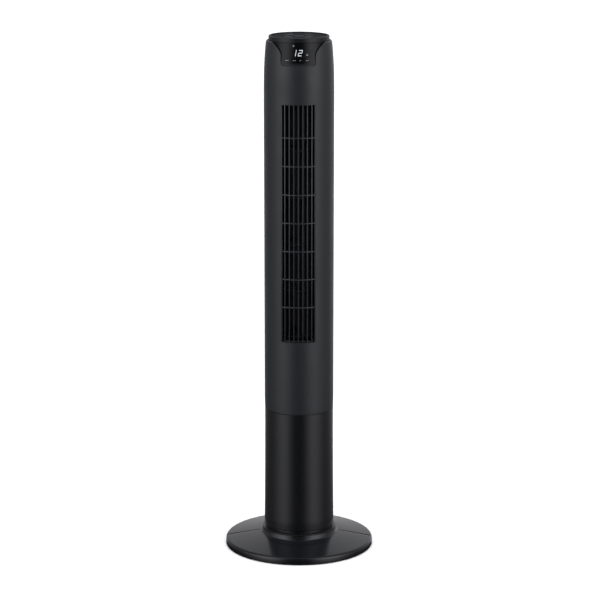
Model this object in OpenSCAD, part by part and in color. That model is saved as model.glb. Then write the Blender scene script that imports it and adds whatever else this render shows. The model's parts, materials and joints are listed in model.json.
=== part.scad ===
// Tower fan on a round two-part base.
// A slim column stands in a collar on the base. The tower above it swings on a
// hollow spindle, driven by a small geared motor in the column. Inside the tower
// a tall drum-shaped wheel draws air in through the back and blows it out of the
// narrow front grille. The control keys are on the cap and the display faces front.
// Millimetres, +Z up, the front faces -Y, the origin is on the floor under the column.

/* [Overall] */
// Height from the floor to the rim of the cap
total_h = 1170; // [1165:1:1190]
// Wall thickness of the plastic mouldings
wall = 2.6; // [2.2:0.1:2.8]

/* [Base] */
// Radius of the round base
base_r = 168; // [164:1:176]
// Height of the edge of the base
base_edge_z = 17; // [15:0.5:18]
// How far the rubber feet hold the base off the floor
foot_gap = 1.5; // [1:0.1:2]
// Number of rubber feet
feet = 6; // [4:2:8]

/* [Column] */
// Radius of the column just under the tower
column_r = 77.4; // [77.2:0.1:77.8]
// How much wider the column is at its foot
column_flare = 1.7; // [0:0.1:2]
// Height of the seam where the tower turns on the column
seam_z = 323.6; // [320:0.2:326]

/* [Tower] */
// Radius of the tower
tower_r = 78; // [77.6:0.1:78.4]
// Angle from the front to the seams between the front and rear housings
seam_angle = 59; // [56:1:62]
// How far the top of the housings leans inwards
crown_in = 5; // [4:0.1:5.5]

/* [Outlet grille] */
// Lowest edge of the front grille
grille_z0 = 491; // [491:1:500]
// Highest edge of the front grille
grille_z1 = 1025; // [1000:1:1025]
// Half of the width of the front grille
grille_half_w = 38; // [36:0.2:38.4]
// Number of upright slats
slats = 7; // [5:2:7]
// Thickness of a slat
slat_t = 2; // [1.6:0.1:2.4]
// Number of cross ribs
cross_ribs = 7; // [5:1:9]

/* [Fan wheel] */
// Outer radius of the blades
wheel_r = 44; // [42:0.5:45]
// Number of blades
blades = 24; // [18:1:30]
// Number of discs that hold the blades
wheel_discs = 6; // [4:1:8]

/* [Swing drive] */
// Tooth size of the gear pair
gear_module = 1.5; // [1.4:0.05:1.55]
// Teeth on the gear of the tower
gear_teeth = 45; // [45:3:48]
// Teeth on the pinion of the motor
pinion_teeth = 15; // [14:1:16]

/* [Hidden] */
$fn = 96;

// Mouldings: joints between neighbours and fused overlaps
gap = 0.3;              // open joint between two mouldings
fuse = 0.5;             // how far a boss or rib runs into the wall that carries it

// Base
foot_r = 9;
foot_stem_r = 2.5;
foot_h = 3;
foot_pcr = 150;         // radius of the circle of feet
collar_r = 88.5;        // where the top of the base meets the collar
collar_z = 29.8;
collar_neck_r = 84;     // top of the flared collar
collar_top = 41;
edge_round = 4;
seat_z = 20;            // the column stands on this ledge
seat_r = 60;
collar_in_r = 81;
rib_t = 2;
foot_boss_r = 7.5;
ledge_t = 3.5;          // thickness of the ledge, and of the floor of the column

// Column
neck_r = 74;            // neck of the column inside the collar
column_z0 = 47;         // the skirt of the column starts above a shadow gap
column_round = 3;
column_top = seam_z - 0.3;
base_screw_pcr = 66;
base_screw_r = 1.8;
base_screw_boss_r = 5;
gland_z = 62;
gland_r = 3.6;
gland_body_r = 6.3;
gland_flange_r = 9;
gland_flange_t = 2.4;
gland_y0 = 72;
gland_y1 = 82;

// Swivel
plate_z = seam_z - 23.4;
plate_t = 4;
ledge_in_r = 62;
plate_screw_pcr = 70;
race_r0 = 62;           // raised race that carries the tower
race_r1 = 66;
race_z = seam_z - 2.1;
thrust_top = seam_z + 0.3;
floor_z = seam_z + 0.4;
floor_t = 4;
spindle_r = 14;
spindle_in_r = 10.5;
spindle_z0 = seam_z - 33.6;
run_gap = 0.06;         // radial clearance of a running fit
bush_r = 17;
clip_groove_r = 12.6;
clip_t = 1.4;
gear_z = seam_z - 12.6;
gear_t = 8;
drive_r = gear_module * (gear_teeth + pinion_teeth) / 2;
pinion_z = gear_z - 0.5;
pinion_t = 9;
drive_shaft_r = 2.5;
drive_can_r = 14;
drive_can_h = 19.5;
drive_lug_x = 17.5;     // lugs of the motor, on each side of its shaft
gear_screw_pcr = 24;
flange_r = 26;          // flange of the spindle on the tower's floor
flange_t = 3;
flange_screw_pcr = 20;

// Tower housings
shell_z0 = seam_z + 0.3;
shell_top = total_h - 10;
crown_z0 = total_h - 145;
shoulder_z = total_h - 16;
shoulder_r = 68.8;
boss_x = 52;
boss_z = [352, 1046, total_h - 72];
boss_split_y = -10;     // the rear and front bosses meet here
front_boss_r = 5;
rear_boss_r = 6;
screw_well_r = 4.4;     // deep hole behind each housing screw
grip_half_w = 42;       // carrying recess at the back
grip_z0 = total_h - 108;
grip_z1 = total_h - 66;
grip_depth_y = 46;
intake_angle = 70;      // half of the angle of the rear grille
intake_ribs = 60;
intake_bars = 7;
slat_pitch = 9.95;

// Duct and wheel
wheel_y = 8;            // the wheel stands behind the middle of the tower
wheel_z0 = 493;
wheel_z1 = 1023;
disc_t = 2;
duct_wall = 1.8;
duct_plate_t = 3;
duct_z0 = 490;
duct_z1 = 1026;
outlet_y = -56;         // the duct's walls end here, behind the grille
tongue_gap = 5;
scroll_start = 20;      // angles of the scroll round the wheel
scroll_end = -50;
scroll_steps = 10;
scroll_gap = 3;         // from the wheel at the start of the scroll
scroll_grow = 11;       // how much wider the scroll is at its end
shaft_r = 4;
pin_r = 3;
motor_r = 36;
motor_z0 = 388;
motor_z1 = 464;
mount_pcr = 46;         // the motor hangs on lugs outside its can
lug_z = motor_z1 - 20;
lug_t = 3;

lead_x = -60;           // the motor's lead climbs beside the duct
lead_y = -34;
lead_in = [-34, -30];   // where it enters the control head

// Control head
lens_z0 = total_h - 61;
lens_side_z = total_h - 36;     // the sides of the display start to flare here
lens_half_w = 37.7;
lens_flare = 22;
lens_t = 2.2;
lens_top_r = 67.5;
cap_r = 67.3;
cap_z = total_h - 10;
cap_skirt_r = 62.2;
panel_r = 63.2;
panel_z = total_h - 5.8;
panel_top = total_h - 2;
board_z = total_h - 22;
board_t = 1.6;
head_floor_z = total_h - 58;
head_floor_t = 2.5;
button_r = 11.5;
key_r0 = 24;
key_r1 = 38;
key_angle = 44;
key_gap = 0.4;
key_names = ["speed_key", "timer_key", "swing_key", "mode_key"];
key_travel_room = 1.3;
key_flange_t = 1.2;
key_low_z = panel_z - 1.6;      // underside of the keys, below the panel
switch_h = 6.2;
display_y = -60;

// Radius of the housings at height z
function tower_radius(z) =
    z < shell_z0 + 26 ? tower_r - 0.7 * (1 - (z - shell_z0) / 26)
    : z < crown_z0 ? tower_r
    : tower_r - crown_in * pow((z - crown_z0) / (total_h - 13 - crown_z0), 3);

// Radius of the column at height z
function column_radius(z) =
    column_r + column_flare * pow((column_top - z) / (column_top - column_z0), 2);

// Height of the top of the base at radius r
function base_top(r) =
    base_edge_z + (collar_z - base_edge_z)
    * (1 - pow((r - collar_r) / (base_r - edge_round - collar_r), 1.15));

// Radius of the leaning face of the display at height z
function lens_radius(z) =
    let (r0 = tower_radius(lens_z0) - 0.2)
    r0 - (r0 - lens_top_r) * pow(max(0, z - lens_z0) / (shell_top - lens_z0), 1.2);

// Half-width of the display at height z
function lens_half(z) =
    lens_half_w + lens_flare * pow(max(0, z - lens_side_z) / 28, 1.6);

function polar(r, a) = [r * cos(a), r * sin(a)];

// Involute tooth flanks
pressure_angle = 20;
backlash = 0.12;
function involute_turn(a) = tan(a) * 180 / PI - a;
function flank_angle(r, base) = involute_turn(acos(min(1, base / r)));
function tooth(teeth, m) =
    let (
        pitch = m * teeth / 2,
        base = pitch * cos(pressure_angle),
        tip = pitch + 0.8 * m,
        root = pitch - 1.2 * m,
        half = 90 / teeth + involute_turn(pressure_angle) - backlash / pitch * 90 / PI,
        radii = [for (i = [0:4]) max(base, root) + (tip - max(base, root)) * i / 4]
    )
    concat(
        [polar(root, -half)],
        [for (r = radii) polar(r, -half + flank_angle(r, base))],
        [for (i = [4:-1:0]) polar(radii[i], half - flank_angle(radii[i], base))],
        [polar(root, half)]
    );
function turned(points, a) =
    [for (p = points) [p[0] * cos(a) - p[1] * sin(a), p[0] * sin(a) + p[1] * cos(a)]];
module gear_outline(teeth, m) {
    polygon([for (k = [0:teeth - 1]) each turned(tooth(teeth, m), k * 360 / teeth)]);
}

// A ring between two radii
module ring(r0, r1, z0, h) {
    rotate_extrude() translate([r0, z0]) square([r1 - r0, h]);
}

// A part of a ring, from one angle over a span
module ring_part(r0, r1, z0, h, start, span) {
    rotate_extrude(angle = span, start = start) translate([r0, z0]) square([r1 - r0, h]);
}

// A rod between two points, with a bead at its far end that rounds the bend
module rod(p, q, r) {
    d = q - p;
    translate(p) rotate([0, acos(d[2] / norm(d)), atan2(d[1], d[0])]) cylinder(h = norm(d), r = r);
    translate(q) sphere(r + 0.2);
}

// Copies its children around the Z axis
module around(n, start = 0) {
    for (i = [0:n - 1]) rotate([0, 0, start + i * 360 / n]) children();
}

// A pan-head screw along +Z, whose head ends at z = 0
module screw(r, length, head_r, head_h) {
    cylinder(h = length, r = r);
    difference() {
        translate([0, 0, -head_h]) cylinder(h = head_h, r = head_r);
        for (a = [0, 90]) rotate([0, 0, a])
            translate([-head_r * 0.6, -0.5, -head_h - 1]) cube([head_r * 1.2, 1, 2]);
    }
}

// ---------- Stand ----------

module base_profile() {
    steps = 6;
    edge_r = base_r - edge_round;
    dr = (edge_r - collar_r) / steps;
    polygon(concat(
        [[base_r, foot_gap]],
        [for (a = [0:30:90]) [
            edge_r + edge_round * cos(a),
            base_edge_z - edge_round + edge_round * sin(a)
        ]],
        [for (i = [1:steps]) [edge_r - i * dr, base_top(edge_r - i * dr)]],
        [for (a = [18:18:90]) [
            collar_r - (collar_r - collar_neck_r) * sin(a),
            collar_top - (collar_top - collar_z) * cos(a)
        ]],
        [[collar_in_r, collar_top], [collar_in_r, seat_z], [seat_r, seat_z], [seat_r, seat_z - ledge_t]],
        [[collar_in_r + wall + 1, seat_z - ledge_t], [collar_in_r + wall + 1, collar_z - wall - 1]],
        [for (i = [steps - 1:-1:0]) [edge_r - i * dr - 0.2, base_top(edge_r - i * dr) - wall]],
        [[base_r - wall, base_edge_z - edge_round], [base_r - wall, foot_gap]]
    ));
}

module base_rib() {
    rotate([90, 0, 0]) translate([0, 0, -rib_t / 2]) linear_extrude(rib_t) polygon([
        [collar_in_r + wall, 6],
        [base_r - wall + fuse, 6],
        [base_r - wall + fuse, base_edge_z - 2.5],
        [collar_r, collar_z - 1.8]
    ]);
}

// One half of the base; side -1 is the front
module base_half(side) {
    turn = side < 0 ? 180 : 0;
    difference() {
        union() {
            rotate_extrude(angle = 180, start = turn) base_profile();
            for (i = [0:5]) rotate([0, 0, turn + 15 + 30 * i]) base_rib();
            around(feet, 30) translate([foot_pcr, 0, foot_h])
                cylinder(h = base_edge_z - foot_h, r = foot_boss_r);
        }
        around(feet, 30) translate([foot_pcr, 0, foot_h - 1]) cylinder(h = 8, r = foot_stem_r + 0.1);
        around(4, 45) translate([base_screw_pcr, 0, 0]) cylinder(h = seat_z + 1, r = base_screw_r + 0.5);
        translate([-base_r - 1, side < 0 ? -gap / 2 : -base_r - 1, -1])
            cube([2 * base_r + 2, base_r + 1 + gap / 2, 60]);
    }
}

module base_front() { color("#2c2d2f") base_half(-1); }
module base_rear() { color("#2f3032") base_half(1); }

module rubber_feet() {
    color("#1a1a1a") around(feet, 30) translate([foot_pcr, 0, 0]) union() {
        cylinder(h = foot_h, r = foot_r);
        cylinder(h = foot_h + 5, r = foot_stem_r);
    }
}

module base_screws() {
    color("#8d9093") around(4, 45) translate([base_screw_pcr, 0, seat_z - ledge_t])
        screw(base_screw_r, 15, 4, 2.6);
}

module collar_ring() {
    color("#242527") rotate_extrude() polygon([
        [neck_r + gap, seat_z + gap],
        [collar_in_r - gap, seat_z + gap],
        [collar_in_r - gap, collar_top + gap],
        [collar_neck_r - 0.4, collar_top + gap],
        [collar_neck_r - 0.4, collar_top + 2.4],
        [collar_neck_r - 1.6, collar_top + 3.5],
        [neck_r + gap, collar_top + 3.5]
    ]);
}

module column_profile() {
    steps = 6;
    skirt = column_z0 + column_round;
    dz = (column_top - skirt) / steps;
    polygon(concat(
        [[0, seat_z], [neck_r, seat_z], [neck_r, column_z0]],
        [for (a = [-90:30:0]) [
            column_radius(skirt) - column_round + column_round * cos(a),
            skirt + column_round * sin(a)
        ]],
        [for (i = [1:steps]) [column_radius(skirt + i * dz), skirt + i * dz]],
        [for (i = [steps:-1:0]) [column_radius(skirt + i * dz) - wall, skirt + i * dz]],
        [[neck_r - wall, skirt], [neck_r - wall, seat_z + ledge_t], [0, seat_z + ledge_t]]
    ));
}

module column() {
    color("#1c1d1f") difference() {
        union() {
            rotate_extrude() column_profile();
            ring(ledge_in_r, column_r - wall + fuse, plate_z - 4.2, 4);
            around(4, 45) translate([base_screw_pcr, 0, seat_z + 1])
                cylinder(h = 14, r = base_screw_boss_r);
        }
        around(4, 45) translate([base_screw_pcr, 0, seat_z - 1])
            cylinder(h = 13.5, r = base_screw_r + 0.1);
        around(4) translate([plate_screw_pcr, 0, plate_z - 6]) cylinder(h = 8, r = 1.7);
        translate([0, gland_y0 - 4, gland_z]) rotate([-90, 0, 0]) cylinder(h = 20, r = gland_body_r + 0.2);
    }
}

module cord_gland() {
    color("#141414") translate([0, gland_y0, gland_z]) rotate([-90, 0, 0]) difference() {
        union() {
            cylinder(h = gland_y1 - gland_y0, r = gland_body_r);
            cylinder(h = gland_flange_t, r = gland_flange_r - 0.4);
            translate([0, 0, gland_y1 - gland_y0 - gland_flange_t])
                cylinder(h = gland_flange_t, r = gland_flange_r);
        }
        translate([0, 0, -1]) cylinder(h = gland_y1 - gland_y0 + 2, r = gland_r);
    }
}

module swivel_plate() {
    color("#3a3b3d") difference() {
        union() {
            translate([0, 0, plate_z]) cylinder(h = plate_t, r = column_r - wall - gap);
            translate([0, 0, plate_z - 4]) cylinder(h = 11.8, r = 21);
            ring(race_r0, race_r1, plate_z + 1, race_z - plate_z - 1);
            for (x = [-drive_lug_x, drive_lug_x])
                translate([x, drive_r, plate_z - 2.7]) cylinder(h = 4, r = 4);
        }
        translate([0, 0, plate_z - 10]) cylinder(h = 40, r = bush_r);
        translate([0, drive_r, plate_z - 10]) cylinder(h = 30, r = 5.5);
        for (x = [-drive_lug_x, drive_lug_x]) translate([x, drive_r, plate_z - 4]) cylinder(h = 7, r = 1.6);
        around(4) translate([plate_screw_pcr, 0, plate_z - 1]) cylinder(h = plate_t + 2, r = 2.3);
    }
}

module swivel_screws() {
    color("#8d9093") around(4) translate([plate_screw_pcr, 0, plate_z + plate_t])
        rotate([180, 0, 0]) screw(1.6, 9, 3.5, 2.4);
}

module spindle_bush() {
    color("#d8d6cf") difference() {
        union() {
            translate([0, 0, plate_z - 5]) cylinder(h = 12.8, r = bush_r - 0.02);
            translate([0, 0, plate_z - 5.4]) cylinder(h = 1.35, r = 20);
        }
        translate([0, 0, plate_z - 10]) cylinder(h = 30, r = spindle_r + run_gap);
    }
}

module thrust_ring() {
    color("#d8d6cf") rotate_extrude() polygon([
        [race_r0 - 1.4, race_z - 3],
        [race_r0 - 0.1, race_z - 3],
        [race_r0 - 0.1, race_z],
        [race_r1 + 0.1, race_z],
        [race_r1 + 0.1, race_z - 3],
        [race_r1 + 1.4, race_z - 3],
        [race_r1 + 1.4, thrust_top],
        [race_r0 - 1.4, thrust_top]
    ]);
}

module swing_motor() {
    can_top = plate_z - 2.7;
    color("#b4b6b8") translate([0, drive_r, 0]) difference() {
        union() {
            translate([0, 0, can_top - drive_can_h]) cylinder(h = drive_can_h, r = drive_can_r);
            translate([0, 0, can_top - 1]) cylinder(h = 4.5, r = 4.5);
            translate([-drive_lug_x, -3.5, can_top - 1]) cube([2 * drive_lug_x, 7, 1]);
            for (x = [-drive_lug_x, drive_lug_x]) translate([x, 0, can_top - 1]) cylinder(h = 1, r = 3.5);
            translate([-7, -drive_can_r - 3, can_top - 15]) cube([14, 8, 12]);
        }
        for (x = [-drive_lug_x, drive_lug_x]) translate([x, 0, can_top - 3]) cylinder(h = 5, r = 1.9);
        translate([0, 0, can_top - 10]) cylinder(h = 20, r = drive_shaft_r + run_gap);
    }
}

module swing_motor_screws() {
    color("#8d9093") for (x = [-drive_lug_x, drive_lug_x])
        translate([x, drive_r, plate_z - 3.7]) screw(1.5, 6.2, 3, 2);
}

module swing_motor_shaft() {
    low = plate_z - 12;
    color("#c9cbcd") translate([0, drive_r, low])
        cylinder(h = pinion_z + pinion_t - 1 - low, r = drive_shaft_r);
}

module swing_pinion() {
    gap_turn = 270 - 180 / pinion_teeth;
    color("#e6e3da") translate([0, drive_r, pinion_z]) difference() {
        rotate([0, 0, gap_turn]) linear_extrude(pinion_t) gear_outline(pinion_teeth, gear_module);
        translate([0, 0, -1]) cylinder(h = pinion_t + 2, r = drive_shaft_r + 0.02);
    }
}

// ---------- Swivel parts of the tower ----------

module swing_gear() {
    color("#e6e3da") difference() {
        union() {
            translate([0, 0, gear_z]) rotate([0, 0, 90])
                linear_extrude(gear_t) gear_outline(gear_teeth, gear_module);
            translate([0, 0, gear_z + gear_t - fuse])
                cylinder(h = floor_z - gear_z - gear_t + fuse, r = 29);
        }
        translate([0, 0, gear_z - 1]) cylinder(h = 30, r = spindle_r + 1);
        around(3) translate([gear_screw_pcr, 0, gear_z - 1]) cylinder(h = 30, r = 1.9);
    }
}

module gear_screws() {
    color("#8d9093") around(3) translate([gear_screw_pcr, 0, gear_z])
        screw(1.6, floor_z - gear_z + 3, 2.8, 2);
}

module tower_floor() {
    color("#3a3b3d") difference() {
        union() {
            translate([0, 0, floor_z]) cylinder(h = floor_t, r = tower_r - wall - 1.2);
            around(8, 22.5) translate([30, -1, floor_z + 1]) cube([38, 2, 11]);
            ring(66, 68, floor_z + 1, 11);
        }
        translate([0, 0, floor_z - 1]) cylinder(h = floor_t + 2, r = spindle_r + 0.2);
        around(4, 45) translate([flange_screw_pcr, 0, floor_z - 1]) cylinder(h = floor_t + 2, r = 1.7);
        around(3) translate([gear_screw_pcr, 0, floor_z - 1]) cylinder(h = 4.5, r = 1.7);
    }
}

module swivel_spindle() {
    top = floor_z + floor_t;
    color("#e6e3da") difference() {
        union() {
            translate([0, 0, spindle_z0]) cylinder(h = top + 4 - spindle_z0, r = spindle_r);
            translate([0, 0, top]) cylinder(h = flange_t, r = flange_r);
        }
        translate([0, 0, spindle_z0 - 1]) cylinder(h = 60, r = spindle_in_r);
        ring(clip_groove_r, spindle_r + 1, spindle_z0 + 2.4, clip_t + 0.2);
        around(4, 45) translate([flange_screw_pcr, 0, top - 1]) cylinder(h = 5, r = 2.2);
    }
}

module spindle_screws() {
    color("#8d9093") around(4, 45) translate([flange_screw_pcr, 0, floor_z + floor_t + flange_t])
        rotate([180, 0, 0]) screw(1.6, 6.5, 3.4, 2.2);
}

module spindle_clip() {
    color("#9b9da0") difference() {
        ring(clip_groove_r + 0.1, 18.5, spindle_z0 + 2.5, clip_t);
        translate([-4, -30, spindle_z0]) cube([8, 22, 8]);
    }
}

// ---------- Housings ----------

module shell_profile() {
    steps = 8;
    dz = (shoulder_z - crown_z0) / steps;
    heights = concat([shell_z0, shell_z0 + 26], [for (i = [0:steps]) crown_z0 + i * dz]);
    last = len(heights) - 1;
    lip = tower_radius(shoulder_z) - shoulder_r;
    polygon(concat(
        [for (z = heights) [tower_radius(z), z]],
        [for (a = [22.5:22.5:90]) [
            shoulder_r + lip * cos(a),
            shoulder_z + (shell_top - shoulder_z) * sin(a)
        ]],
        [[shoulder_r, shell_top - 1.6]],
        [[shoulder_r + lip - wall, shoulder_z]],
        [for (i = [last:-1:0]) [tower_radius(heights[i]) - wall, heights[i]]]
    ));
}

// Rounded outline of the display, and of the opening that it fills
module lens_outline(grow) {
    steps = 7;
    top = total_h - 9 + grow;
    dz = (top - lens_side_z) / steps;
    corner = 5;
    right = concat(
        [for (a = [0:22.5:90]) [
            lens_half_w - corner + corner * sin(a) + grow,
            lens_z0 + 1 + corner - corner * cos(a) - grow
        ]],
        [for (i = [0:steps]) [lens_half(lens_side_z + i * dz) + grow, lens_side_z + i * dz]]
    );
    n = len(right) - 1;
    polygon(concat([[0, lens_z0 - grow]], right, [for (i = [n:-1:0]) [-right[i][0], right[i][1]]]));
}

// The outline pushed through the front of the tower
module lens_cutter(grow) {
    rotate([90, 0, 0]) translate([0, 0, 20]) linear_extrude(70) lens_outline(grow);
}

module front_boss(x, z) {
    reach = sqrt(pow(tower_radius(z) - wall + fuse, 2) - pow(abs(x) + front_boss_r, 2));
    translate([x, boss_split_y - gap, z]) rotate([90, 0, 0])
        cylinder(h = reach + boss_split_y - gap, r = front_boss_r);
}

module front_housing() {
    color("#333537") difference() {
        union() {
            rotate_extrude(angle = 2 * seam_angle - 0.2, start = 270.1 - seam_angle) shell_profile();
            for (x = [-boss_x, boss_x]) for (z = boss_z) front_boss(x, z);
        }
        translate([-grille_half_w, -tower_r - 1, grille_z0])
            cube([2 * grille_half_w, 30, grille_z1 - grille_z0]);
        lens_cutter(0.4);
        for (x = [-boss_x, boss_x]) for (z = boss_z)
            translate([x, boss_split_y + 1, z]) rotate([90, 0, 0]) cylinder(h = 20, r = 1.9);
    }
}

module rear_boss(x, z) {
    reach = sqrt(pow(tower_radius(z) - wall + fuse, 2) - pow(abs(x) + rear_boss_r, 2));
    translate([x, boss_split_y, z]) rotate([-90, 0, 0]) cylinder(h = reach - boss_split_y, r = rear_boss_r);
}

// The room for the fingers in the carrying recess
module grip_space() {
    translate([-grip_half_w, grip_depth_y, grip_z0]) cube([2 * grip_half_w, 40, grip_z1 - grip_z0]);
}

module rear_housing() {
    color("#313335") difference() {
        union() {
            difference() {
                rotate_extrude(angle = 360 - 2 * seam_angle - 0.2, start = 270.1 + seam_angle)
                    shell_profile();
                grip_space();
            }
            difference() {
                intersection() {
                    translate([-grip_half_w - wall, grip_depth_y - wall, grip_z0 - wall])
                        cube([2 * (grip_half_w + wall), 40, grip_z1 - grip_z0 + 2 * wall]);
                    translate([0, 0, grip_z0 - 10]) cylinder(h = 80, r = tower_r - 1.6);
                }
                grip_space();
            }
            for (x = [-boss_x, boss_x]) for (z = boss_z) rear_boss(x, z);
        }
        ring_part(70, 80, grille_z0, grille_z1 - grille_z0, 90 - intake_angle, 2 * intake_angle);
        for (x = [-boss_x, boss_x]) for (z = boss_z) {
            translate([x, boss_split_y + 4, z]) rotate([-90, 0, 0]) cylinder(h = 90, r = screw_well_r);
            translate([x, boss_split_y - 1, z]) rotate([-90, 0, 0]) cylinder(h = 10, r = 2.2);
        }
    }
}

module housing_screws() {
    color("#8d9093") for (x = [-boss_x, boss_x]) for (z = boss_z)
        translate([x, boss_split_y + 4, z]) rotate([90, 0, 0]) screw(1.8, 18, 3.8, 2.6);
}

// Front grille: a frame in the opening, upright slats and cross ribs behind their edges
module outlet_grille() {
    depth = 9;
    stile = 1.6;
    half = grille_half_w - gap;
    z0 = grille_z0 + gap;
    h = grille_z1 - grille_z0 - 2 * gap;
    rib_pitch = h / (cross_ribs + 1.4);
    color("#2b2c2e") intersection() {
        translate([0, 0, z0]) cylinder(h = h, r = tower_r - 0.6);
        union() {
            for (side = [-1, 1])
                translate([side * (half - stile / 2) - stile / 2, -tower_r, z0])
                    cube([stile, 2 * depth, h]);
            for (i = [0:slats - 1])
                translate([(i - (slats - 1) / 2) * slat_pitch - slat_t / 2, -tower_r, z0])
                    cube([slat_t, depth, h]);
            for (z = [z0, z0 + h - 2.4]) translate([-half, -tower_r, z]) cube([2 * half, 16, 2.4]);
            for (i = [0:cross_ribs - 1]) difference() {
                translate([-half, -tower_r, z0 + (i + 1.25) * rib_pitch - 1])
                    cube([2 * half, 2 * depth, 2]);
                translate([0, 0, z0]) cylinder(h = h, r = tower_r - depth);
            }
        }
    }
}

// Rear grille: fine level ribs on upright bars, set in the window of the rear housing
module intake_grille() {
    edge = 0.3;
    z0 = grille_z0 + gap;
    h = grille_z1 - grille_z0 - 2 * gap;
    start = 90 - intake_angle + edge;
    span = 2 * (intake_angle - edge);
    pitch = (h - 2.4) / (intake_ribs - 1);
    bar = 2;
    color("#2b2c2e") union() {
        rotate_extrude(angle = span, start = start)
            for (i = [0:intake_ribs - 1]) translate([tower_r - 2.6, z0 + i * pitch]) square([2.3, 2.4]);
        for (i = [0:intake_bars - 1])
            ring_part(
                tower_r - 3.4, tower_r - 0.7, z0, h,
                start + i * (span - bar) / (intake_bars - 1), bar
            );
    }
}

// ---------- Duct ----------

module duct_bottom_plate() {
    color("#4a4c4f") difference() {
        translate([0, 0, duct_z0 - gap - duct_plate_t])
            cylinder(h = duct_plate_t, r = tower_r - wall - 0.5);
        translate([0, wheel_y, duct_z0 - 10]) cylinder(h = 20, r = 11);
        translate([0, wheel_y, 0]) around(4, 45) translate([mount_pcr, 0, duct_z0 - 10])
            cylinder(h = 20, r = 2.2);
        translate([lead_x, lead_y, duct_z0 - 10]) cylinder(h = 20, r = 4);
    }
}

module duct_top_plate() {
    color("#4a4c4f") difference() {
        translate([0, 0, duct_z1 + gap]) cylinder(h = duct_plate_t, r = tower_r - wall - 0.5);
        translate([0, wheel_y, duct_z1 - 5]) cylinder(h = 20, r = 9);
        translate([lead_x, lead_y, duct_z1 - 5]) cylinder(h = 20, r = 4);
    }
}

// The curve of the scroll widens round the wheel; an offset of the wall gives its outer face
function scroll_curve(offset) = [
    for (i = [0:scroll_steps])
        let (
            a = scroll_start + (scroll_end - scroll_start) * i / scroll_steps,
            r = wheel_r + scroll_gap + offset + scroll_grow * i / scroll_steps
        )
        [r * cos(a), wheel_y + r * sin(a)]
];

// Scroll: a baffle out to the housing, the widening curve, a straight run to the outlet
module scroll_wall() {
    curve = scroll_curve(0);
    outer = scroll_curve(duct_wall);
    baffle_y = curve[0][1];
    color("#3d3f42") translate([0, 0, duct_z0]) linear_extrude(duct_z1 - duct_z0) polygon(concat(
        [[69.5, baffle_y + duct_wall], [curve[0][0] - 1, baffle_y + duct_wall]],
        curve,
        [[grille_half_w - 1, outlet_y], [grille_half_w - 1 + duct_wall, outlet_y]],
        [for (i = [scroll_steps:-1:1]) outer[i]],
        [[outer[0][0] + 1, baffle_y], [69.5, baffle_y]]
    ));
}

// Tongue: a rounded nose close to the wheel, a baffle out to the housing, a run to the outlet
module tongue_wall() {
    nose = [-(wheel_r + tongue_gap) * cos(25), wheel_y - (wheel_r + tongue_gap) * sin(25)];
    color("#3d3f42") translate([0, 0, duct_z0]) linear_extrude(duct_z1 - duct_z0) polygon(concat(
        [for (a = [0:30:120]) [nose[0] - 1.8 + 1.8 * cos(a), nose[1] - 1.8 + 1.8 * sin(a)]],
        [[-71, nose[1] - 3], [-71, nose[1] - 3 - duct_wall], [nose[0] - 3, nose[1] - 4 - duct_wall]],
        [[-grille_half_w + 1 - duct_wall, outlet_y], [-grille_half_w + 1, outlet_y]]
    ));
}

// ---------- Motor ----------

module fan_motor() {
    color("#a7a9ab") translate([0, wheel_y, 0]) difference() {
        union() {
            translate([0, 0, motor_z0 + 16]) cylinder(h = motor_z1 - motor_z0 - 32, r = motor_r);
            translate([0, 0, motor_z0]) cylinder(h = 17, r = motor_r - 5);
            translate([0, 0, motor_z1 - 17]) cylinder(h = 17, r = motor_r - 5);
            translate([0, 0, motor_z1 - 1]) cylinder(h = 6, r = 9);
            around(4, 45) translate([motor_r - 6, -6, lug_z]) cube([mount_pcr - motor_r + 6, 12, lug_t]);
            around(4, 45) translate([mount_pcr, 0, lug_z]) cylinder(h = lug_t, r = 6);
        }
        translate([0, 0, motor_z1 - 30]) cylinder(h = 40, r = shaft_r + run_gap);
        around(4, 45) translate([mount_pcr, 0, lug_z - 1]) cylinder(h = lug_t + 2, r = 2.2);
    }
}

module motor_mounts() {
    color("#1f1f20") translate([0, wheel_y, 0]) around(4, 45) translate([mount_pcr, 0, 0]) difference() {
        translate([0, 0, lug_z + lug_t]) cylinder(h = duct_z0 - gap - duct_plate_t - lug_z - lug_t, r = 5);
        translate([0, 0, lug_z]) cylinder(h = 60, r = 2.1);
    }
}

module motor_screws() {
    color("#8d9093") translate([0, wheel_y, 0]) around(4, 45) translate([mount_pcr, 0, lug_z])
        screw(1.9, duct_z0 + 0.6 - lug_z, 3.8, 2.6);
}

module motor_capacitor() {
    color("#d2cfc4") translate([40, -30, motor_z0 - 30]) union() {
        cube([16, 22, 34]);
        translate([6, 4, 33]) cube([1, 5, 7]);
        translate([6, 13, 33]) cube([1, 5, 7]);
    }
}

module motor_shaft() {
    color("#c9cbcd") translate([0, wheel_y, motor_z1 - 24])
        cylinder(h = wheel_z0 + 16 - motor_z1 + 24, r = shaft_r);
}

// Lead from the motor, clipped up the side of the duct to the control head
module motor_lead() {
    r = 2.4;
    a = [-39, wheel_y - 4, motor_z0 + 56];
    b = [lead_x, lead_y, motor_z0 + 80];
    c = [lead_x, lead_y, duct_z1 + 40];
    d = [lead_in[0], lead_in[1], head_floor_z - 27];
    e = [lead_in[0], lead_in[1], board_z - 3];
    color("#191919") union() {
        rod(a, b, r);
        rod(b, c, r);
        rod(c, d, r);
        rod(d, e, r);
    }
}

// ---------- Fan wheel ----------

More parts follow.
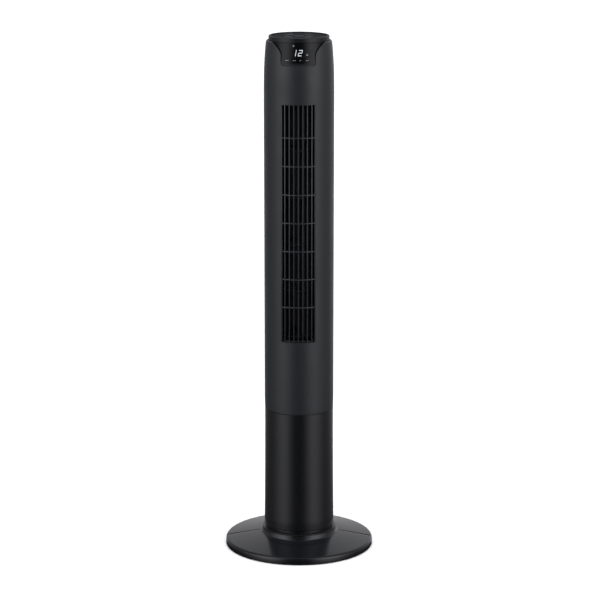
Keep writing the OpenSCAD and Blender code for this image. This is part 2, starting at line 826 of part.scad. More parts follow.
module wheel_blade() {
    t = 0.9;
    depth = 10;
    h = wheel_z1 - wheel_z0;
    lean = 26;
    inner = [wheel_r - depth, 0];
    middle = [wheel_r - depth / 2, 1.6];
    tip = [wheel_r - 0.3, 5.4];
    rotate([0, 0, -lean]) linear_extrude(h) polygon([
        inner, middle, tip,
        tip + [-0.5, t], middle + [-0.3, t], inner + [0, t]
    ]);
}

module fan_wheel() {
    pitch = (wheel_z1 - wheel_z0 - disc_t) / (wheel_discs - 1);
    color("#26272a") translate([0, wheel_y, wheel_z0]) difference() {
        union() {
            around(blades) wheel_blade();
            for (i = [0, wheel_discs - 1]) translate([0, 0, i * pitch]) cylinder(h = disc_t, r = wheel_r);
            for (i = [1:wheel_discs - 2]) ring(wheel_r - 11, wheel_r, i * pitch, disc_t);
        }
        translate([0, 0, -1]) cylinder(h = disc_t + 2, r = 9);
        translate([0, 0, wheel_z1 - wheel_z0 - disc_t - 1]) cylinder(h = disc_t + 2, r = pin_r + 3.02);
    }
}

module wheel_hub() {
    color("#1d1d1e") translate([0, wheel_y, wheel_z0]) difference() {
        union() {
            cylinder(h = disc_t + 12, r = 8.9);
            translate([0, 0, disc_t + 0.1]) cylinder(h = 3, r = 15);
        }
        translate([0, 0, -1]) cylinder(h = 17.1, r = shaft_r + 0.02);
        translate([0, 0, 9]) rotate([0, 90, 0]) cylinder(h = 20, r = 1.5);
    }
}

module wheel_pin() {
    color("#c9cbcd") translate([0, wheel_y, 0]) union() {
        translate([0, 0, wheel_z1 - 8]) cylinder(h = 8, r = pin_r + 3);
        translate([0, 0, wheel_z1 - 1]) cylinder(h = 16, r = pin_r);
    }
}

module pin_bush() {
    color("#b58a45") translate([0, wheel_y, duct_z1 + 2]) difference() {
        cylinder(h = 9, r = 7);
        translate([0, 0, -1]) cylinder(h = 11, r = pin_r + run_gap);
    }
}

module pin_bush_seat() {
    z = duct_z1 + gap + duct_plate_t;
    color("#1f1f20") translate([0, wheel_y, 0]) difference() {
        union() {
            translate([0, 0, z]) cylinder(h = 2.5, r = 19);
            translate([0, 0, z]) cylinder(h = 12, r = 10.5);
        }
        translate([0, 0, z - 1]) cylinder(h = 9, r = 7.1);
        translate([0, 0, z + 7]) cylinder(h = 3, r = 5);
    }
}

// ---------- Control head ----------

module control_housing() {
    steps = 5;
    dz = (cap_z - head_floor_z - 0.4) / steps;
    thin = 2;
    clear = lens_t + 0.4;
    color("#232426") difference() {
        rotate_extrude() polygon(concat(
            [[0, head_floor_z]],
            [for (i = [0:steps]) [lens_radius(head_floor_z + i * dz) - clear - 0.3, head_floor_z + i * dz]],
            [for (i = [steps:-1:0]) [
                lens_radius(head_floor_z + i * dz) - clear - 0.3 - thin,
                max(head_floor_z + i * dz, head_floor_z + head_floor_t)
            ]],
            [[0, head_floor_z + head_floor_t]]
        ));
        translate([-31, -90, head_floor_z + 4]) cube([62, 50, 37]);
        translate([lead_in[0], lead_in[1], head_floor_z - 1]) cylinder(h = 5, r = 4);
    }
}

module top_cap() {
    round_r = 2;
    color("#1b1c1e") rotate_extrude() polygon(concat(
        [[cap_skirt_r, cap_z], [cap_r, cap_z]],
        [for (a = [0:22.5:90]) [cap_r - round_r + round_r * cos(a), total_h - round_r + round_r * sin(a)]],
        [[panel_r + 0.9, total_h], [panel_r + 0.3, total_h - 0.6], [panel_r + 0.3, panel_z - 0.2]],
        [[panel_r - 5, panel_z - 0.2], [panel_r - 5, panel_z - 2.2]],
        [[cap_skirt_r - 1.6, panel_z - 2.2], [cap_skirt_r - 1.6, cap_z - 4], [cap_skirt_r, cap_z - 4]]
    ));
}

function key_start(i) = 45 + 90 * i - key_angle / 2;

module control_panel() {
    color("#141516") difference() {
        translate([0, 0, panel_z]) cylinder(h = panel_top - panel_z, r = panel_r);
        translate([0, 0, panel_z - 1]) cylinder(h = 10, r = button_r + key_gap);
        for (i = [0:3]) ring_part(
            key_r0 - key_gap, key_r1 + key_gap, panel_z - 1, 10,
            key_start(i) - 0.8, key_angle + 1.6
        );
    }
}

module power_button() {
    color("#c4c6c8") union() {
        translate([0, 0, key_low_z]) cylinder(h = panel_top + 0.8 - key_low_z, r = button_r);
        translate([0, 0, key_low_z]) cylinder(h = key_flange_t, r = button_r + 2);
        translate([0, 0, board_z + board_t + switch_h + key_travel_room]) cylinder(h = 6, r = 3);
    }
}

// One of the four curved keys round the power button
module arc_key(i) {
    mid = (key_r0 + key_r1) / 2;
    color("#202123") union() {
        ring_part(key_r0, key_r1, key_low_z, panel_top + 0.4 - key_low_z, key_start(i), key_angle);
        ring_part(key_r0 - 1.5, key_r1 + 1.5, key_low_z, key_flange_t, key_start(i) - 2, key_angle + 4);
        rotate([0, 0, 45 + 90 * i]) translate([mid, 0, board_z + board_t + switch_h + key_travel_room])
            cylinder(h = 6, r = 3);
    }
}

module control_board() {
    color("#2f6b46") difference() {
        translate([0, 0, board_z]) cylinder(h = board_t, r = 56);
        around(3, 30) translate([50, 0, board_z - 1]) cylinder(h = 4, r = 1.7);
    }
}

module key_switches() {
    mid = (key_r0 + key_r1) / 2;
    places = concat([[0, 0]], [for (i = [0:3]) polar(mid, 45 + 90 * i)]);
    color("#303133") for (p = places) translate([p[0], p[1], board_z + board_t]) union() {
        translate([-3, -3, 0]) cube([6, 6, 3.6]);
        cylinder(h = switch_h, r = 1.7);
    }
}

module buzzer() {
    color("#111111") translate([-20, 14, board_z - 8]) difference() {
        cylinder(h = 8, r = 7);
        translate([0, 0, -1]) cylinder(h = 3, r = 1.5);
    }
}

// The leaning face of the display, cut to its outline
module display_lens() {
    steps = 6;
    dz = (cap_z - 0.3 - lens_z0 + 1) / steps;
    color("#08090b") intersection() {
        rotate_extrude(angle = 150, start = 195) polygon(concat(
            [for (i = [0:steps]) [lens_radius(lens_z0 - 1 + i * dz), lens_z0 - 1 + i * dz]],
            [for (i = [steps:-1:0]) [lens_radius(lens_z0 - 1 + i * dz) - lens_t, lens_z0 - 1 + i * dz]]
        ));
        lens_cutter(0);
    }
}

module display_board() {
    color("#2f6b46") translate([-28, display_y, head_floor_z + 6]) cube([56, board_t, 30]);
}

module digit_display() {
    color("#1a1b1d") translate([-12, display_y - 5, head_floor_z + 16]) cube([24, 5, 18]);
}

module remote_receiver() {
    color("#111113") translate([22, display_y, head_floor_z + 12]) rotate([90, 0, 0]) union() {
        translate([-3, -3.5, 0]) cube([6, 7, 3]);
        translate([0, 0, 3]) sphere(2.4);
    }
}

base_front();
base_rear();
rubber_feet();
base_screws();
collar_ring();
column();
cord_gland();
swivel_plate();
swivel_screws();
spindle_bush();
thrust_ring();
swing_motor();
swing_motor_screws();
swing_motor_shaft();
swing_pinion();
swing_gear();
gear_screws();
tower_floor();
swivel_spindle();
spindle_screws();
spindle_clip();
front_housing();
rear_housing();
housing_screws();
outlet_grille();
intake_grille();
duct_bottom_plate();
duct_top_plate();
scroll_wall();
tongue_wall();
fan_motor();
motor_capacitor();
motor_mounts();
motor_screws();
motor_shaft();
motor_lead();
fan_wheel();
wheel_hub();
wheel_pin();
pin_bush();
pin_bush_seat();
control_housing();
top_cap();
control_panel();
control_board();
key_switches();
buzzer();
display_lens();
display_board();
digit_display();
remote_receiver();
power_button();
for (i = [0:3]) arc_key(i);
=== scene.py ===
# %% [markdown]
# # A tower fan, piece by piece
# A tower fan is a slim upright housing with a tall drum-shaped wheel inside. This lesson dresses an
# engineering model of one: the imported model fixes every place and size, and each visible moulding
# is rebuilt here with finer edges and a finish of its own. Everything is in metres, the front faces
# -Y.

# %% Load the engineering model
import json
import math

import bmesh
import bpy
from mathutils import Matrix, Vector


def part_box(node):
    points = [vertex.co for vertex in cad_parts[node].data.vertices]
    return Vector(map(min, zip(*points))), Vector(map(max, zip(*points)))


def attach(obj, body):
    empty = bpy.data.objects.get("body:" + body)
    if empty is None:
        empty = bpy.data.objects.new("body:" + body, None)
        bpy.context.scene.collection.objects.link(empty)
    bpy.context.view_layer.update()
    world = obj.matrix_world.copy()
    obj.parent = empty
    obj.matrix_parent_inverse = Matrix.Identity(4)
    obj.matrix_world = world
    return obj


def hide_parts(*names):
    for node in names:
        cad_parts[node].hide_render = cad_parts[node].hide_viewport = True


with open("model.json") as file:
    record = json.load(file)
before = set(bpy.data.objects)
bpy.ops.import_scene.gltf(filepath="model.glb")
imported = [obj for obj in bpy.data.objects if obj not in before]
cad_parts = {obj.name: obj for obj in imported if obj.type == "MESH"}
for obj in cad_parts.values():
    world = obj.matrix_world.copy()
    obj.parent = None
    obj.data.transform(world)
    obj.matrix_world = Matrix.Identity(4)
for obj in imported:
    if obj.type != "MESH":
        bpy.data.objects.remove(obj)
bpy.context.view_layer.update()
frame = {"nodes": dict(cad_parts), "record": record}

MM = 0.001

# %% [markdown]
# ## Driving sizes
# The heights are read from the frame, so they follow the model. The curves of the mouldings are
# short formulas: a curve that is written once can be used for the shell, for its neighbour and for
# a cutter.

# %% Heights and radii
TOTAL_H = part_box("top_cap")[1].z
BASE_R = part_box("base_front")[1].x
BASE_EDGE_Z = 17 * MM
COLLAR_R, COLLAR_Z = 88.5 * MM, 29.8 * MM
COLLAR_NECK_R, COLLAR_TOP = 84 * MM, 41 * MM
COLUMN_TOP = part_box("column")[1].z
COLUMN_SKIRT_Z = 48.4 * MM
COLUMN_R, COLUMN_FLARE = 77.4 * MM, 1.7 * MM
SHELL_Z0, SHELL_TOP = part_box("front_housing")[0].z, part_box("front_housing")[1].z
TOWER_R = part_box("rear_housing")[1].x
CROWN_Z = TOTAL_H - 145 * MM
CROWN_IN = 5 * MM
SHOULDER_Z, SHOULDER_R = TOTAL_H - 16 * MM, 68.8 * MM
WALL = 2.6 * MM
SEAM_ANGLE = 59
GRILLE_Z0, GRILLE_Z1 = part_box("outlet_grille")[0].z - 0.3 * MM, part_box("outlet_grille")[1].z + 0.3 * MM
GRILLE_HALF = 38 * MM
LENS_Z0, LENS_SIDE_Z = TOTAL_H - 61 * MM, TOTAL_H - 36 * MM
CAP_Z = TOTAL_H - 10 * MM
FRONT = 270
print(f"total height {TOTAL_H:.3f} m, tower radius {TOWER_R:.4f} m, seam at {COLUMN_TOP:.4f} m")


def tower_radius(z):
    """The tower is a plain cylinder with a barely tapered foot and a crown that leans in."""
    if z < SHELL_Z0 + 26 * MM:
        return TOWER_R - 0.7 * MM * (1 - (z - SHELL_Z0) / (26 * MM))
    lean = max(0, z - CROWN_Z) / (TOTAL_H - 13 * MM - CROWN_Z)
    return TOWER_R - CROWN_IN * lean ** 3


def column_radius(z):
    """The column swells a little towards its foot."""
    return COLUMN_R + COLUMN_FLARE * ((COLUMN_TOP - z) / (COLUMN_TOP - COLUMN_SKIRT_Z)) ** 2


def lens_radius(z):
    """The display face leans back from the tower's skin to the cap."""
    foot = tower_radius(LENS_Z0) - 0.2 * MM
    rise = max(0, z - LENS_Z0) / (SHELL_TOP - LENS_Z0)
    return foot - (foot - 67.5 * MM) * rise ** 1.2


def lens_half(z):
    """Half of the width of the display face: upright sides that flare under the cap."""
    return 37.7 * MM + 22 * MM * (max(0, z - LENS_SIDE_Z) / (28 * MM)) ** 1.6


# %% [markdown]
# ## The camera comes first
# A long lens from a little above keeps the tower's sides almost parallel. It stands five metres
# away and looks down by thirteen degrees, so that the cap and the top of the base both show as thin
# ellipses. It also stands a little over one degree to the right, so the grille sits left of the
# tower's middle.

# %% Camera
LENS_MM = 143.2
CAMERA_PITCH, CAMERA_ORBIT = 12.948, math.radians(1.2)
CAMERA_SHIFT, CAMERA_DISTANCE, CAMERA_HEIGHT = 2.2 * MM, 5.245, 1.7778
camera_data = bpy.data.cameras.new("camera")
camera_data.lens = LENS_MM
camera_data.sensor_width = 36
camera = bpy.data.objects.new("camera", camera_data)
straight_ahead = Vector((CAMERA_SHIFT, -CAMERA_DISTANCE, CAMERA_HEIGHT))
camera.location = Matrix.Rotation(CAMERA_ORBIT, 3, "Z") @ straight_ahead
camera.rotation_euler = (math.radians(90 - CAMERA_PITCH), 0, CAMERA_ORBIT)
bpy.context.scene.collection.objects.link(camera)
bpy.context.scene.camera = camera
print("camera at", [round(v, 3) for v in camera.location])

# %% [markdown]
# One small function adds a shader node with its settings and links. Every finish below is written
# with it, so a finish reads as a short list of what happens to the surface.

# %% Helpers for shader nodes and colours
def add_node(tree, kind, settings, links=None):
    """Adds a node; settings name its sockets or its properties, links name its sockets."""
    node = tree.nodes.new(kind)
    for name, value in settings.items():
        if isinstance(name, int) or name in node.inputs:
            node.inputs[name].default_value = value
        else:
            setattr(node, name, value)
    for name, source in (links or {}).items():
        tree.links.new(source, node.inputs[name])
    return node


def colour(hex_code, alpha=1.0):
    """sRGB hex to the linear colour that shaders take."""
    parts = [int(hex_code[i:i + 2], 16) / 255 for i in (1, 3, 5)]
    return [p / 12.92 if p <= 0.04045 else ((p + 0.055) / 1.055) ** 2.4 for p in parts] + [alpha]


def material(name):
    """A new material with a Principled shader; returns both and the node tree."""
    made = bpy.data.materials.new(name)
    made.use_nodes = True
    return made, made.node_tree, made.node_tree.nodes["Principled BSDF"]


# %% [markdown]
# ## Studio
# Black plastic shows its shape only through what it reflects, so the studio is designed as a band
# of brightness round the fan. The camera's side is dark, which leaves the middle of the tower
# black. A wide soft glow on each side, about 52 degrees from the camera, gives each side of the
# tower one band of light. The flanks are dim, and the back is bright, which draws a thin line along
# both edges of the column. The walls fade towards the ceiling and the ground, so rounded rims don't
# pick up a hard white line. The far right corner is a little brighter, as if a window stood there.

# %% The room
SIDE_GLOW = [
    (0, 0.05), (17, 0.12), (31, 0.94), (44, 1.78), (62, 1.62), (80, 0.76), (98, 0.30),
    (135, 0.26), (158, 0.55), (180, 0.62),
]
world = bpy.data.worlds.new("studio")
bpy.context.scene.world = world
world.use_nodes = True
world.node_tree.nodes.clear()
sky = world.node_tree
facing = add_node(sky, "ShaderNodeTexCoord", {})
axes = add_node(sky, "ShaderNodeSeparateXYZ", {}, {"Vector": facing.outputs["Generated"]})
front = add_node(sky, "ShaderNodeMath", {"operation": "MULTIPLY", 1: -1.0}, {0: axes.outputs["Y"]})
azimuth = add_node(
    sky, "ShaderNodeMath", {"operation": "ARCTAN2"}, {0: axes.outputs["X"], 1: front.outputs[0]}
)
turn = add_node(sky, "ShaderNodeMath", {"operation": "ABSOLUTE"}, {0: azimuth.outputs[0]})
share = add_node(sky, "ShaderNodeMath", {"operation": "DIVIDE", 1: math.pi}, {0: turn.outputs[0]})
band = add_node(sky, "ShaderNodeValToRGB", {}, {"Fac": share.outputs[0]})
stops = band.color_ramp.elements
stops[0].position, stops[1].position = 0, 1
for degrees, _ in SIDE_GLOW[1:-1]:
    stops.new(degrees / 180)
for stop, (degrees, level) in zip(stops, SIDE_GLOW):
    stop.color = (level, level, level * 1.03, 1)
lean = add_node(
    sky, "ShaderNodeMapRange",
    {"From Min": -0.5, "From Max": 0.5, "To Min": 0.94, "To Max": 1.0}, {"Value": axes.outputs["X"]},
)
low_fade = add_node(
    sky, "ShaderNodeMapRange",
    {"interpolation_type": "SMOOTHSTEP",
     "From Min": -0.315, "From Max": -0.235, "To Min": 0.02, "To Max": 1.0},
    {"Value": axes.outputs["Z"]},
)
ceiling_fade = add_node(
    sky, "ShaderNodeMapRange",
    {"interpolation_type": "SMOOTHSTEP", "From Min": 0.5, "From Max": 0.9, "To Min": 1.0, "To Max": 0.4},
    {"Value": axes.outputs["Z"]},
)
fade = add_node(
    sky, "ShaderNodeMath", {"operation": "MULTIPLY"},
    {0: low_fade.outputs["Result"], 1: ceiling_fade.outputs["Result"]},
)
corner = add_node(
    sky, "ShaderNodeMath", {"operation": "MINIMUM"}, {0: axes.outputs["X"], 1: axes.outputs["Y"]}
)
far_right = add_node(
    sky, "ShaderNodeMapRange",
    {"From Min": 0.15, "From Max": 0.5, "To Min": 1.0, "To Max": 1.6}, {"Value": corner.outputs[0]},
)
fade = add_node(
    sky, "ShaderNodeMath", {"operation": "MULTIPLY"},
    {0: fade.outputs[0], 1: far_right.outputs["Result"]},
)
strength = add_node(
    sky, "ShaderNodeMath", {"operation": "MULTIPLY"}, {0: fade.outputs[0], 1: lean.outputs["Result"]}
)
room = add_node(
    sky, "ShaderNodeBackground", {}, {"Color": band.outputs["Color"], "Strength": strength.outputs[0]}
)
add_node(sky, "ShaderNodeOutputWorld", {}, {"Surface": room.outputs[0]})
bpy.context.scene.view_settings.view_transform = "Standard"
print("room lit by", len(stops), "levels")

# %% [markdown]
# The floor is white paint under one large soft light from straight above, which hardly touches the
# upright sides. A white floor would also shine into the column from below, so the floor is hidden
# from reflected and scattered light: there the fan sees the graded room instead, as if it stood on
# a dark table.

# %% Floor and the light above it
SUN_STRENGTH = 2.95
floor_paint, tree, shader = material("matt_white_paint")
shader.inputs["Base Color"].default_value = colour("#f4f4f4")
shader.inputs["Roughness"].default_value = 0.9
floor_mesh = bmesh.new()
bmesh.ops.create_grid(floor_mesh, x_segments=4, y_segments=4, size=60)
floor_data = bpy.data.meshes.new("studio_floor")
floor_mesh.to_mesh(floor_data)
floor_mesh.free()
floor = bpy.data.objects.new("studio_floor", floor_data)
floor_data.materials.append(floor_paint)
bpy.context.scene.collection.objects.link(floor)
floor.visible_glossy = False
floor.visible_diffuse = False

above = bpy.data.lights.new("light_above", "SUN")
above.energy = SUN_STRENGTH
above.angle = math.radians(50)
above_lamp = bpy.data.objects.new("light_above", above)
bpy.context.scene.collection.objects.link(above_lamp)
above_lamp.visible_glossy = False
print("studio ready")

# %% [markdown]
# ## Finishes
# Nearly all of a fan is ABS, a tough styrene plastic. The steel mould decides how it looks: a
# spark-eroded mould leaves a fine matt grain, a polished one a mirror. The grain is drawn with
# noise on Object coordinates, its scale worked out from a size in millimetres, and goes to bump and
# to roughness.

# %% Plastics
def moulded(name, shade, roughness, grain_mm, depth_mm, cloud=0.04, ior=1.53, gloss_level=0.5):
    """ABS from a mould: grain as bump, slow clouds in roughness, and a slight shift in colour."""
    made, tree, shader = material(name)
    place = add_node(tree, "ShaderNodeTexCoord", {})
    grain = add_node(
        tree, "ShaderNodeTexNoise",
        {"Scale": 1 / (grain_mm * MM), "Detail": 3.0, "Roughness": 0.6},
        {"Vector": place.outputs["Object"]},
    )
    clouds = add_node(
        tree, "ShaderNodeTexNoise",
        {"Scale": 1 / (55 * MM), "Detail": 2.0, "Roughness": 0.5},
        {"Vector": place.outputs["Object"]},
    )
    gloss = add_node(
        tree, "ShaderNodeMapRange",
        {"From Min": 0.3, "From Max": 0.7, "To Min": roughness - cloud, "To Max": roughness + cloud},
        {"Value": clouds.outputs["Fac"]},
    )
    dark, light = colour(shade), [min(1, c * 1.18) for c in colour(shade)[:3]] + [1]
    tint = add_node(
        tree, "ShaderNodeMix",
        {"data_type": "RGBA"},
        {"Factor": grain.outputs["Fac"]},
    )
    tint.inputs[6].default_value = dark
    tint.inputs[7].default_value = light
    bump = add_node(
        tree, "ShaderNodeBump",
        {"Strength": 0.5, "Distance": depth_mm * MM},
        {"Height": grain.outputs["Fac"]},
    )
    tree.links.new(tint.outputs[2], shader.inputs["Base Color"])
    tree.links.new(gloss.outputs["Result"], shader.inputs["Roughness"])
    tree.links.new(bump.outputs["Normal"], shader.inputs["Normal"])
    shader.inputs["IOR"].default_value = ior
    shader.inputs["Specular IOR Level"].default_value = gloss_level
    return made


HOUSING_SHADE = "#292b2e"
housing_abs = moulded("ABS_spark_eroded_charcoal", HOUSING_SHADE, 0.40, 1.3, 0.05)
column_abs = moulded("ABS_satin_black", "#131417", 0.28, 2.4, 0.01, cloud=0.01)
base_abs = moulded("ABS_satin_black_base", "#121316", 0.18, 1.6, 0.01, cloud=0.01)
collar_abs = moulded("ABS_satin_black_collar", "#141517", 0.33, 1.6, 0.01, cloud=0.01)
grille_abs = moulded("ABS_satin_grille", "#383b3f", 0.27, 1.2, 0.02)
cap_abs = moulded("ABS_satin_black_cap", "#131417", 0.36, 1.6, 0.03, gloss_level=0.38)
key_abs = moulded("ABS_satin_black_keys", "#1b1c20", 0.55, 1.2, 0.03, gloss_level=0.3)
panel_abs = moulded("ABS_fine_matt_panel", "#0e0f11", 0.62, 0.9, 0.03, gloss_level=0.05)
frame_abs = moulded("ABS_unpolished_black", "#1c1d1f", 0.55, 1.0, 0.05)
duct_abs = moulded("ABS_unpolished_duct", "#3a3d40", 0.50, 1.0, 0.05)
wheel_abs = moulded("ABS_glass_filled_wheel", "#3a3d40", 0.5, 0.9, 0.04)
natural_pom = moulded("POM_natural_white", "#dedad0", 0.38, 1.5, 0.03, ior=1.48)
rubber = moulded("EPDM_rubber_black", "#0d0d0e", 0.72, 0.8, 0.06, ior=1.52)
capacitor_pbt = moulded("PBT_cream_capacitor", "#c4c0b2", 0.4, 1.2, 0.03)
epoxy_black = moulded("epoxy_black_component", "#101012", 0.3, 0.8, 0.02)


# %% [markdown]
# The display face comes out of a polished mould. What tells polish from satin is a nearly clear
# reflection, broken only by the faint smears of handling. Its lowest few millimetres are frosted
# and tinted like the housing, so the sheet fades into the tower instead of ending in a line.

# %% Polished plastic
def polished(name, shade, roughness, smear_mm, fade):
    """PMMA: almost a mirror, with faint smears in its roughness, frosted between two heights."""
    made, tree, shader = material(name)
    place = add_node(tree, "ShaderNodeTexCoord", {})
    smears = add_node(
        tree, "ShaderNodeTexNoise",
        {"Scale": 1 / (smear_mm * MM), "Detail": 4.0, "Roughness": 0.7, "Distortion": 0.6},
        {"Vector": place.outputs["Object"]},
    )
    gloss = add_node(
        tree, "ShaderNodeMapRange",
        {"From Min": 0.35, "From Max": 0.75, "To Min": roughness, "To Max": roughness + 0.09},
        {"Value": smears.outputs["Fac"]},
    )
    axes = add_node(tree, "ShaderNodeSeparateXYZ", {}, {"Vector": place.outputs["Object"]})
    frost = add_node(
        tree, "ShaderNodeMapRange",
        {"interpolation_type": "SMOOTHSTEP",
         "From Min": fade[0], "From Max": fade[1], "To Min": 1.0, "To Max": 0.0},
        {"Value": axes.outputs["Z"]},
    )
    matt = add_node(
        tree, "ShaderNodeMix", {"data_type": "FLOAT", 3: 0.4},
        {"Factor": frost.outputs["Result"], 2: gloss.outputs["Result"]},
    )
    tint = add_node(tree, "ShaderNodeMix", {"data_type": "RGBA"}, {"Factor": frost.outputs["Result"]})
    tint.inputs[6].default_value = colour(shade)
    tint.inputs[7].default_value = colour(HOUSING_SHADE)
    tree.links.new(matt.outputs[0], shader.inputs["Roughness"])
    tree.links.new(tint.outputs[2], shader.inputs["Base Color"])
    shader.inputs["IOR"].default_value = 1.49
    shader.inputs["Specular IOR Level"].default_value = 0.3
    return made


lens_pmma = polished("PMMA_smoked_black", "#06070a", 0.18, 22, fade=(LENS_Z0 + 1 * MM, LENS_Z0 + 9 * MM))


# %% [markdown]
# Metals take their colour in the reflection. Zinc plate on screws is a little blotchy, a ground
# shaft has fine rings round it, and the galvanised motor can shows pale crystal patches called
# spangle. The dye in anodised aluminium swallows light at a flat angle, so its edge tint is dark.

# %% Metals
def metal(name, shade, roughness, patch_mm, spread=0.08, rings=False, edge="#ffffff"):
    """A metal whose roughness changes in patches, or in rings round an upright axis."""
    made, tree, shader = material(name)
    place = add_node(tree, "ShaderNodeTexCoord", {})
    if rings:
        pattern = add_node(
            tree, "ShaderNodeTexWave",
            {"wave_type": "BANDS", "bands_direction": "Z",
             "Scale": 0.16 / (patch_mm * MM), "Distortion": 1.5},
            {"Vector": place.outputs["Object"]},
        )
    else:
        pattern = add_node(
            tree, "ShaderNodeTexVoronoi",
            {"Scale": 1 / (patch_mm * MM)},
            {"Vector": place.outputs["Object"]},
        )
    amount = pattern.outputs["Fac" if rings else "Distance"]
    gloss = add_node(
        tree, "ShaderNodeMapRange",
        {"To Min": roughness - spread, "To Max": roughness + spread},
        {"Value": amount},
    )
    tree.links.new(gloss.outputs["Result"], shader.inputs["Roughness"])
    shader.inputs["Base Color"].default_value = colour(shade)
    shader.inputs["Metallic"].default_value = 1.0
    shader.inputs["Specular Tint"].default_value = colour(edge)
    return made


zinc_plate = metal("steel_zinc_plated", "#b9bdc2", 0.32, 1.5)
ground_steel = metal("steel_ground", "#c6c9cc", 0.24, 0.8, rings=True)
galvanised = metal("steel_galvanised_sheet", "#a9adb1", 0.4, 7)
sintered_bronze = metal("bronze_sintered", "#a97b42", 0.45, 0.6)
spun_aluminium = metal("aluminium_dyed_anodised", "#85888d", 0.42, 0.7, spread=0.05, edge="#7d8085")


# %% [markdown]
# A circuit board is glass-epoxy under green solder mask. The woven glass shows through as a faint
# check, so its bump is a brick pattern as fine as the cloth.

# %% Circuit board
def solder_mask(name):
    made, tree, shader = material(name)
    place = add_node(tree, "ShaderNodeTexCoord", {})
    cloth = add_node(
        tree, "ShaderNodeTexBrick",
        {"Scale": 1 / (1.2 * MM), "Mortar Size": 0.06,
         "Color1": colour("#1f6a3f"), "Color2": colour("#236f45"), "Mortar": colour("#17532f")},
        {"Vector": place.outputs["Object"]},
    )
    bump = add_node(
        tree, "ShaderNodeBump",
        {"Strength": 0.3, "Distance": 0.03 * MM}, {"Height": cloth.outputs["Fac"]},
    )
    tree.links.new(cloth.outputs["Color"], shader.inputs["Base Color"])
    tree.links.new(bump.outputs["Normal"], shader.inputs["Normal"])
    shader.inputs["Roughness"].default_value = 0.25
    return made


circuit_board = solder_mask("FR4_green_solder_mask")

# %% [markdown]
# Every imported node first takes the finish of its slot, so nothing inside is left bare. The
# mouldings that show from outside are then replaced one by one.

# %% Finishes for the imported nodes
FINISH = {
    "housing_abs": housing_abs, "column_abs": column_abs, "base_abs": base_abs, "collar_abs": collar_abs,
    "grille_abs": grille_abs, "cap_abs": cap_abs, "panel_gloss": panel_abs, "lens_gloss": lens_pmma,
    "key_abs": key_abs, "button_metal": spun_aluminium, "rubber": rubber, "screw_steel": zinc_plate,
    "shaft_steel": ground_steel, "pom": natural_pom, "frame_abs": frame_abs, "duct_abs": duct_abs,
    "motor_metal": galvanised, "capacitor_case": capacitor_pbt, "wheel_abs": wheel_abs,
    "bronze": sintered_bronze, "circuit_board": circuit_board, "black_component": epoxy_black,
}
for entry in frame["record"]["subparts"]:
    node = frame["nodes"][entry["node"]]
    node.data.materials.clear()
    node.data.materials.append(FINISH[entry["material_slot"]])
print(len(frame["nodes"]), "packed nodes have a finish")


# %% [markdown]
# ## Tools for the mouldings
# Round mouldings start as half of their cross-section, as in a turner's drawing, and are spun about
# the tower's axis. The outline lists only corners and short arcs. A piece that isn't a full ring is
# spun from a filled face, which closes its two ends.

# %% Outline, spin and finish
def arc(centre, radius, start, end, steps=6):
    """Points of an arc in the section plane, angles in degrees from outward to up."""
    turns = [math.radians(start + (end - start) * i / steps) for i in range(steps + 1)]
    return [(centre[0] + radius * math.cos(t), centre[1] + radius * math.sin(t)) for t in turns]


def spun(outline, start=0, span=360, steps=144, shape=None):
    """Spins a closed outline of (radius, height) about Z, from an azimuth over a span in degrees."""
    shape = shape or bmesh.new()
    turn = math.radians(start)
    corners = [shape.verts.new((r * math.cos(turn), r * math.sin(turn), z)) for r, z in outline]
    face = shape.faces.new(corners)
    whole = span == 360
    geometry = [face]
    if whole:
        geometry = list(face.edges) + corners
        shape.faces.remove(face)
    bmesh.ops.spin(
        shape, geom=geometry, cent=(0, 0, 0), axis=(0, 0, 1), angle=math.radians(span),
        steps=steps, use_merge=whole,
    )
    return shape


def clean(shape):
    """Merges doubles and turns every face outwards."""
    bmesh.ops.remove_doubles(shape, verts=shape.verts, dist=0.002 * MM)
    bmesh.ops.recalc_face_normals(shape, faces=shape.faces)
    return shape


def as_object(shape, name):
    """Makes an object of a bmesh, which is used up."""
    mesh = bpy.data.meshes.new(name)
    clean(shape).to_mesh(mesh)
    shape.free()
    made = bpy.data.objects.new(name, mesh)
    bpy.context.scene.collection.objects.link(made)
    return made


def pour(part, whole):
    """Adds one bmesh to another; the first is used up."""
    held = bpy.data.meshes.new("part")
    part.to_mesh(held)
    part.free()
    whole.from_mesh(held)
    bpy.data.meshes.remove(held)


def carve(piece, tool, operation="DIFFERENCE"):
    """Cuts a piece with a tool, which is used up."""
    modifier = piece.modifiers.new("carve", "BOOLEAN")
    modifier.object, modifier.operation, modifier.solver = tool, operation, "EXACT"
    graph = bpy.context.evaluated_depsgraph_get()
    cut_mesh = bpy.data.meshes.new_from_object(piece.evaluated_get(graph))
    piece.modifiers.clear()
    piece.data = cut_mesh
    bpy.data.objects.remove(tool)
    return piece


def block(low, high, round_mm=0):
    """A block between two corners, with rounded edges."""
    shape = bmesh.new()
    bmesh.ops.create_cube(shape, size=1)
    low, high = Vector(low), Vector(high)
    bmesh.ops.scale(shape, vec=high - low, verts=shape.verts)
    bmesh.ops.translate(shape, vec=(high + low) / 2, verts=shape.verts)
    if round_mm:
        bmesh.ops.bevel(
            shape, geom=list(shape.edges), offset=round_mm * MM, segments=4, profile=0.5,
            affect="EDGES", material=-1,
        )
    return shape


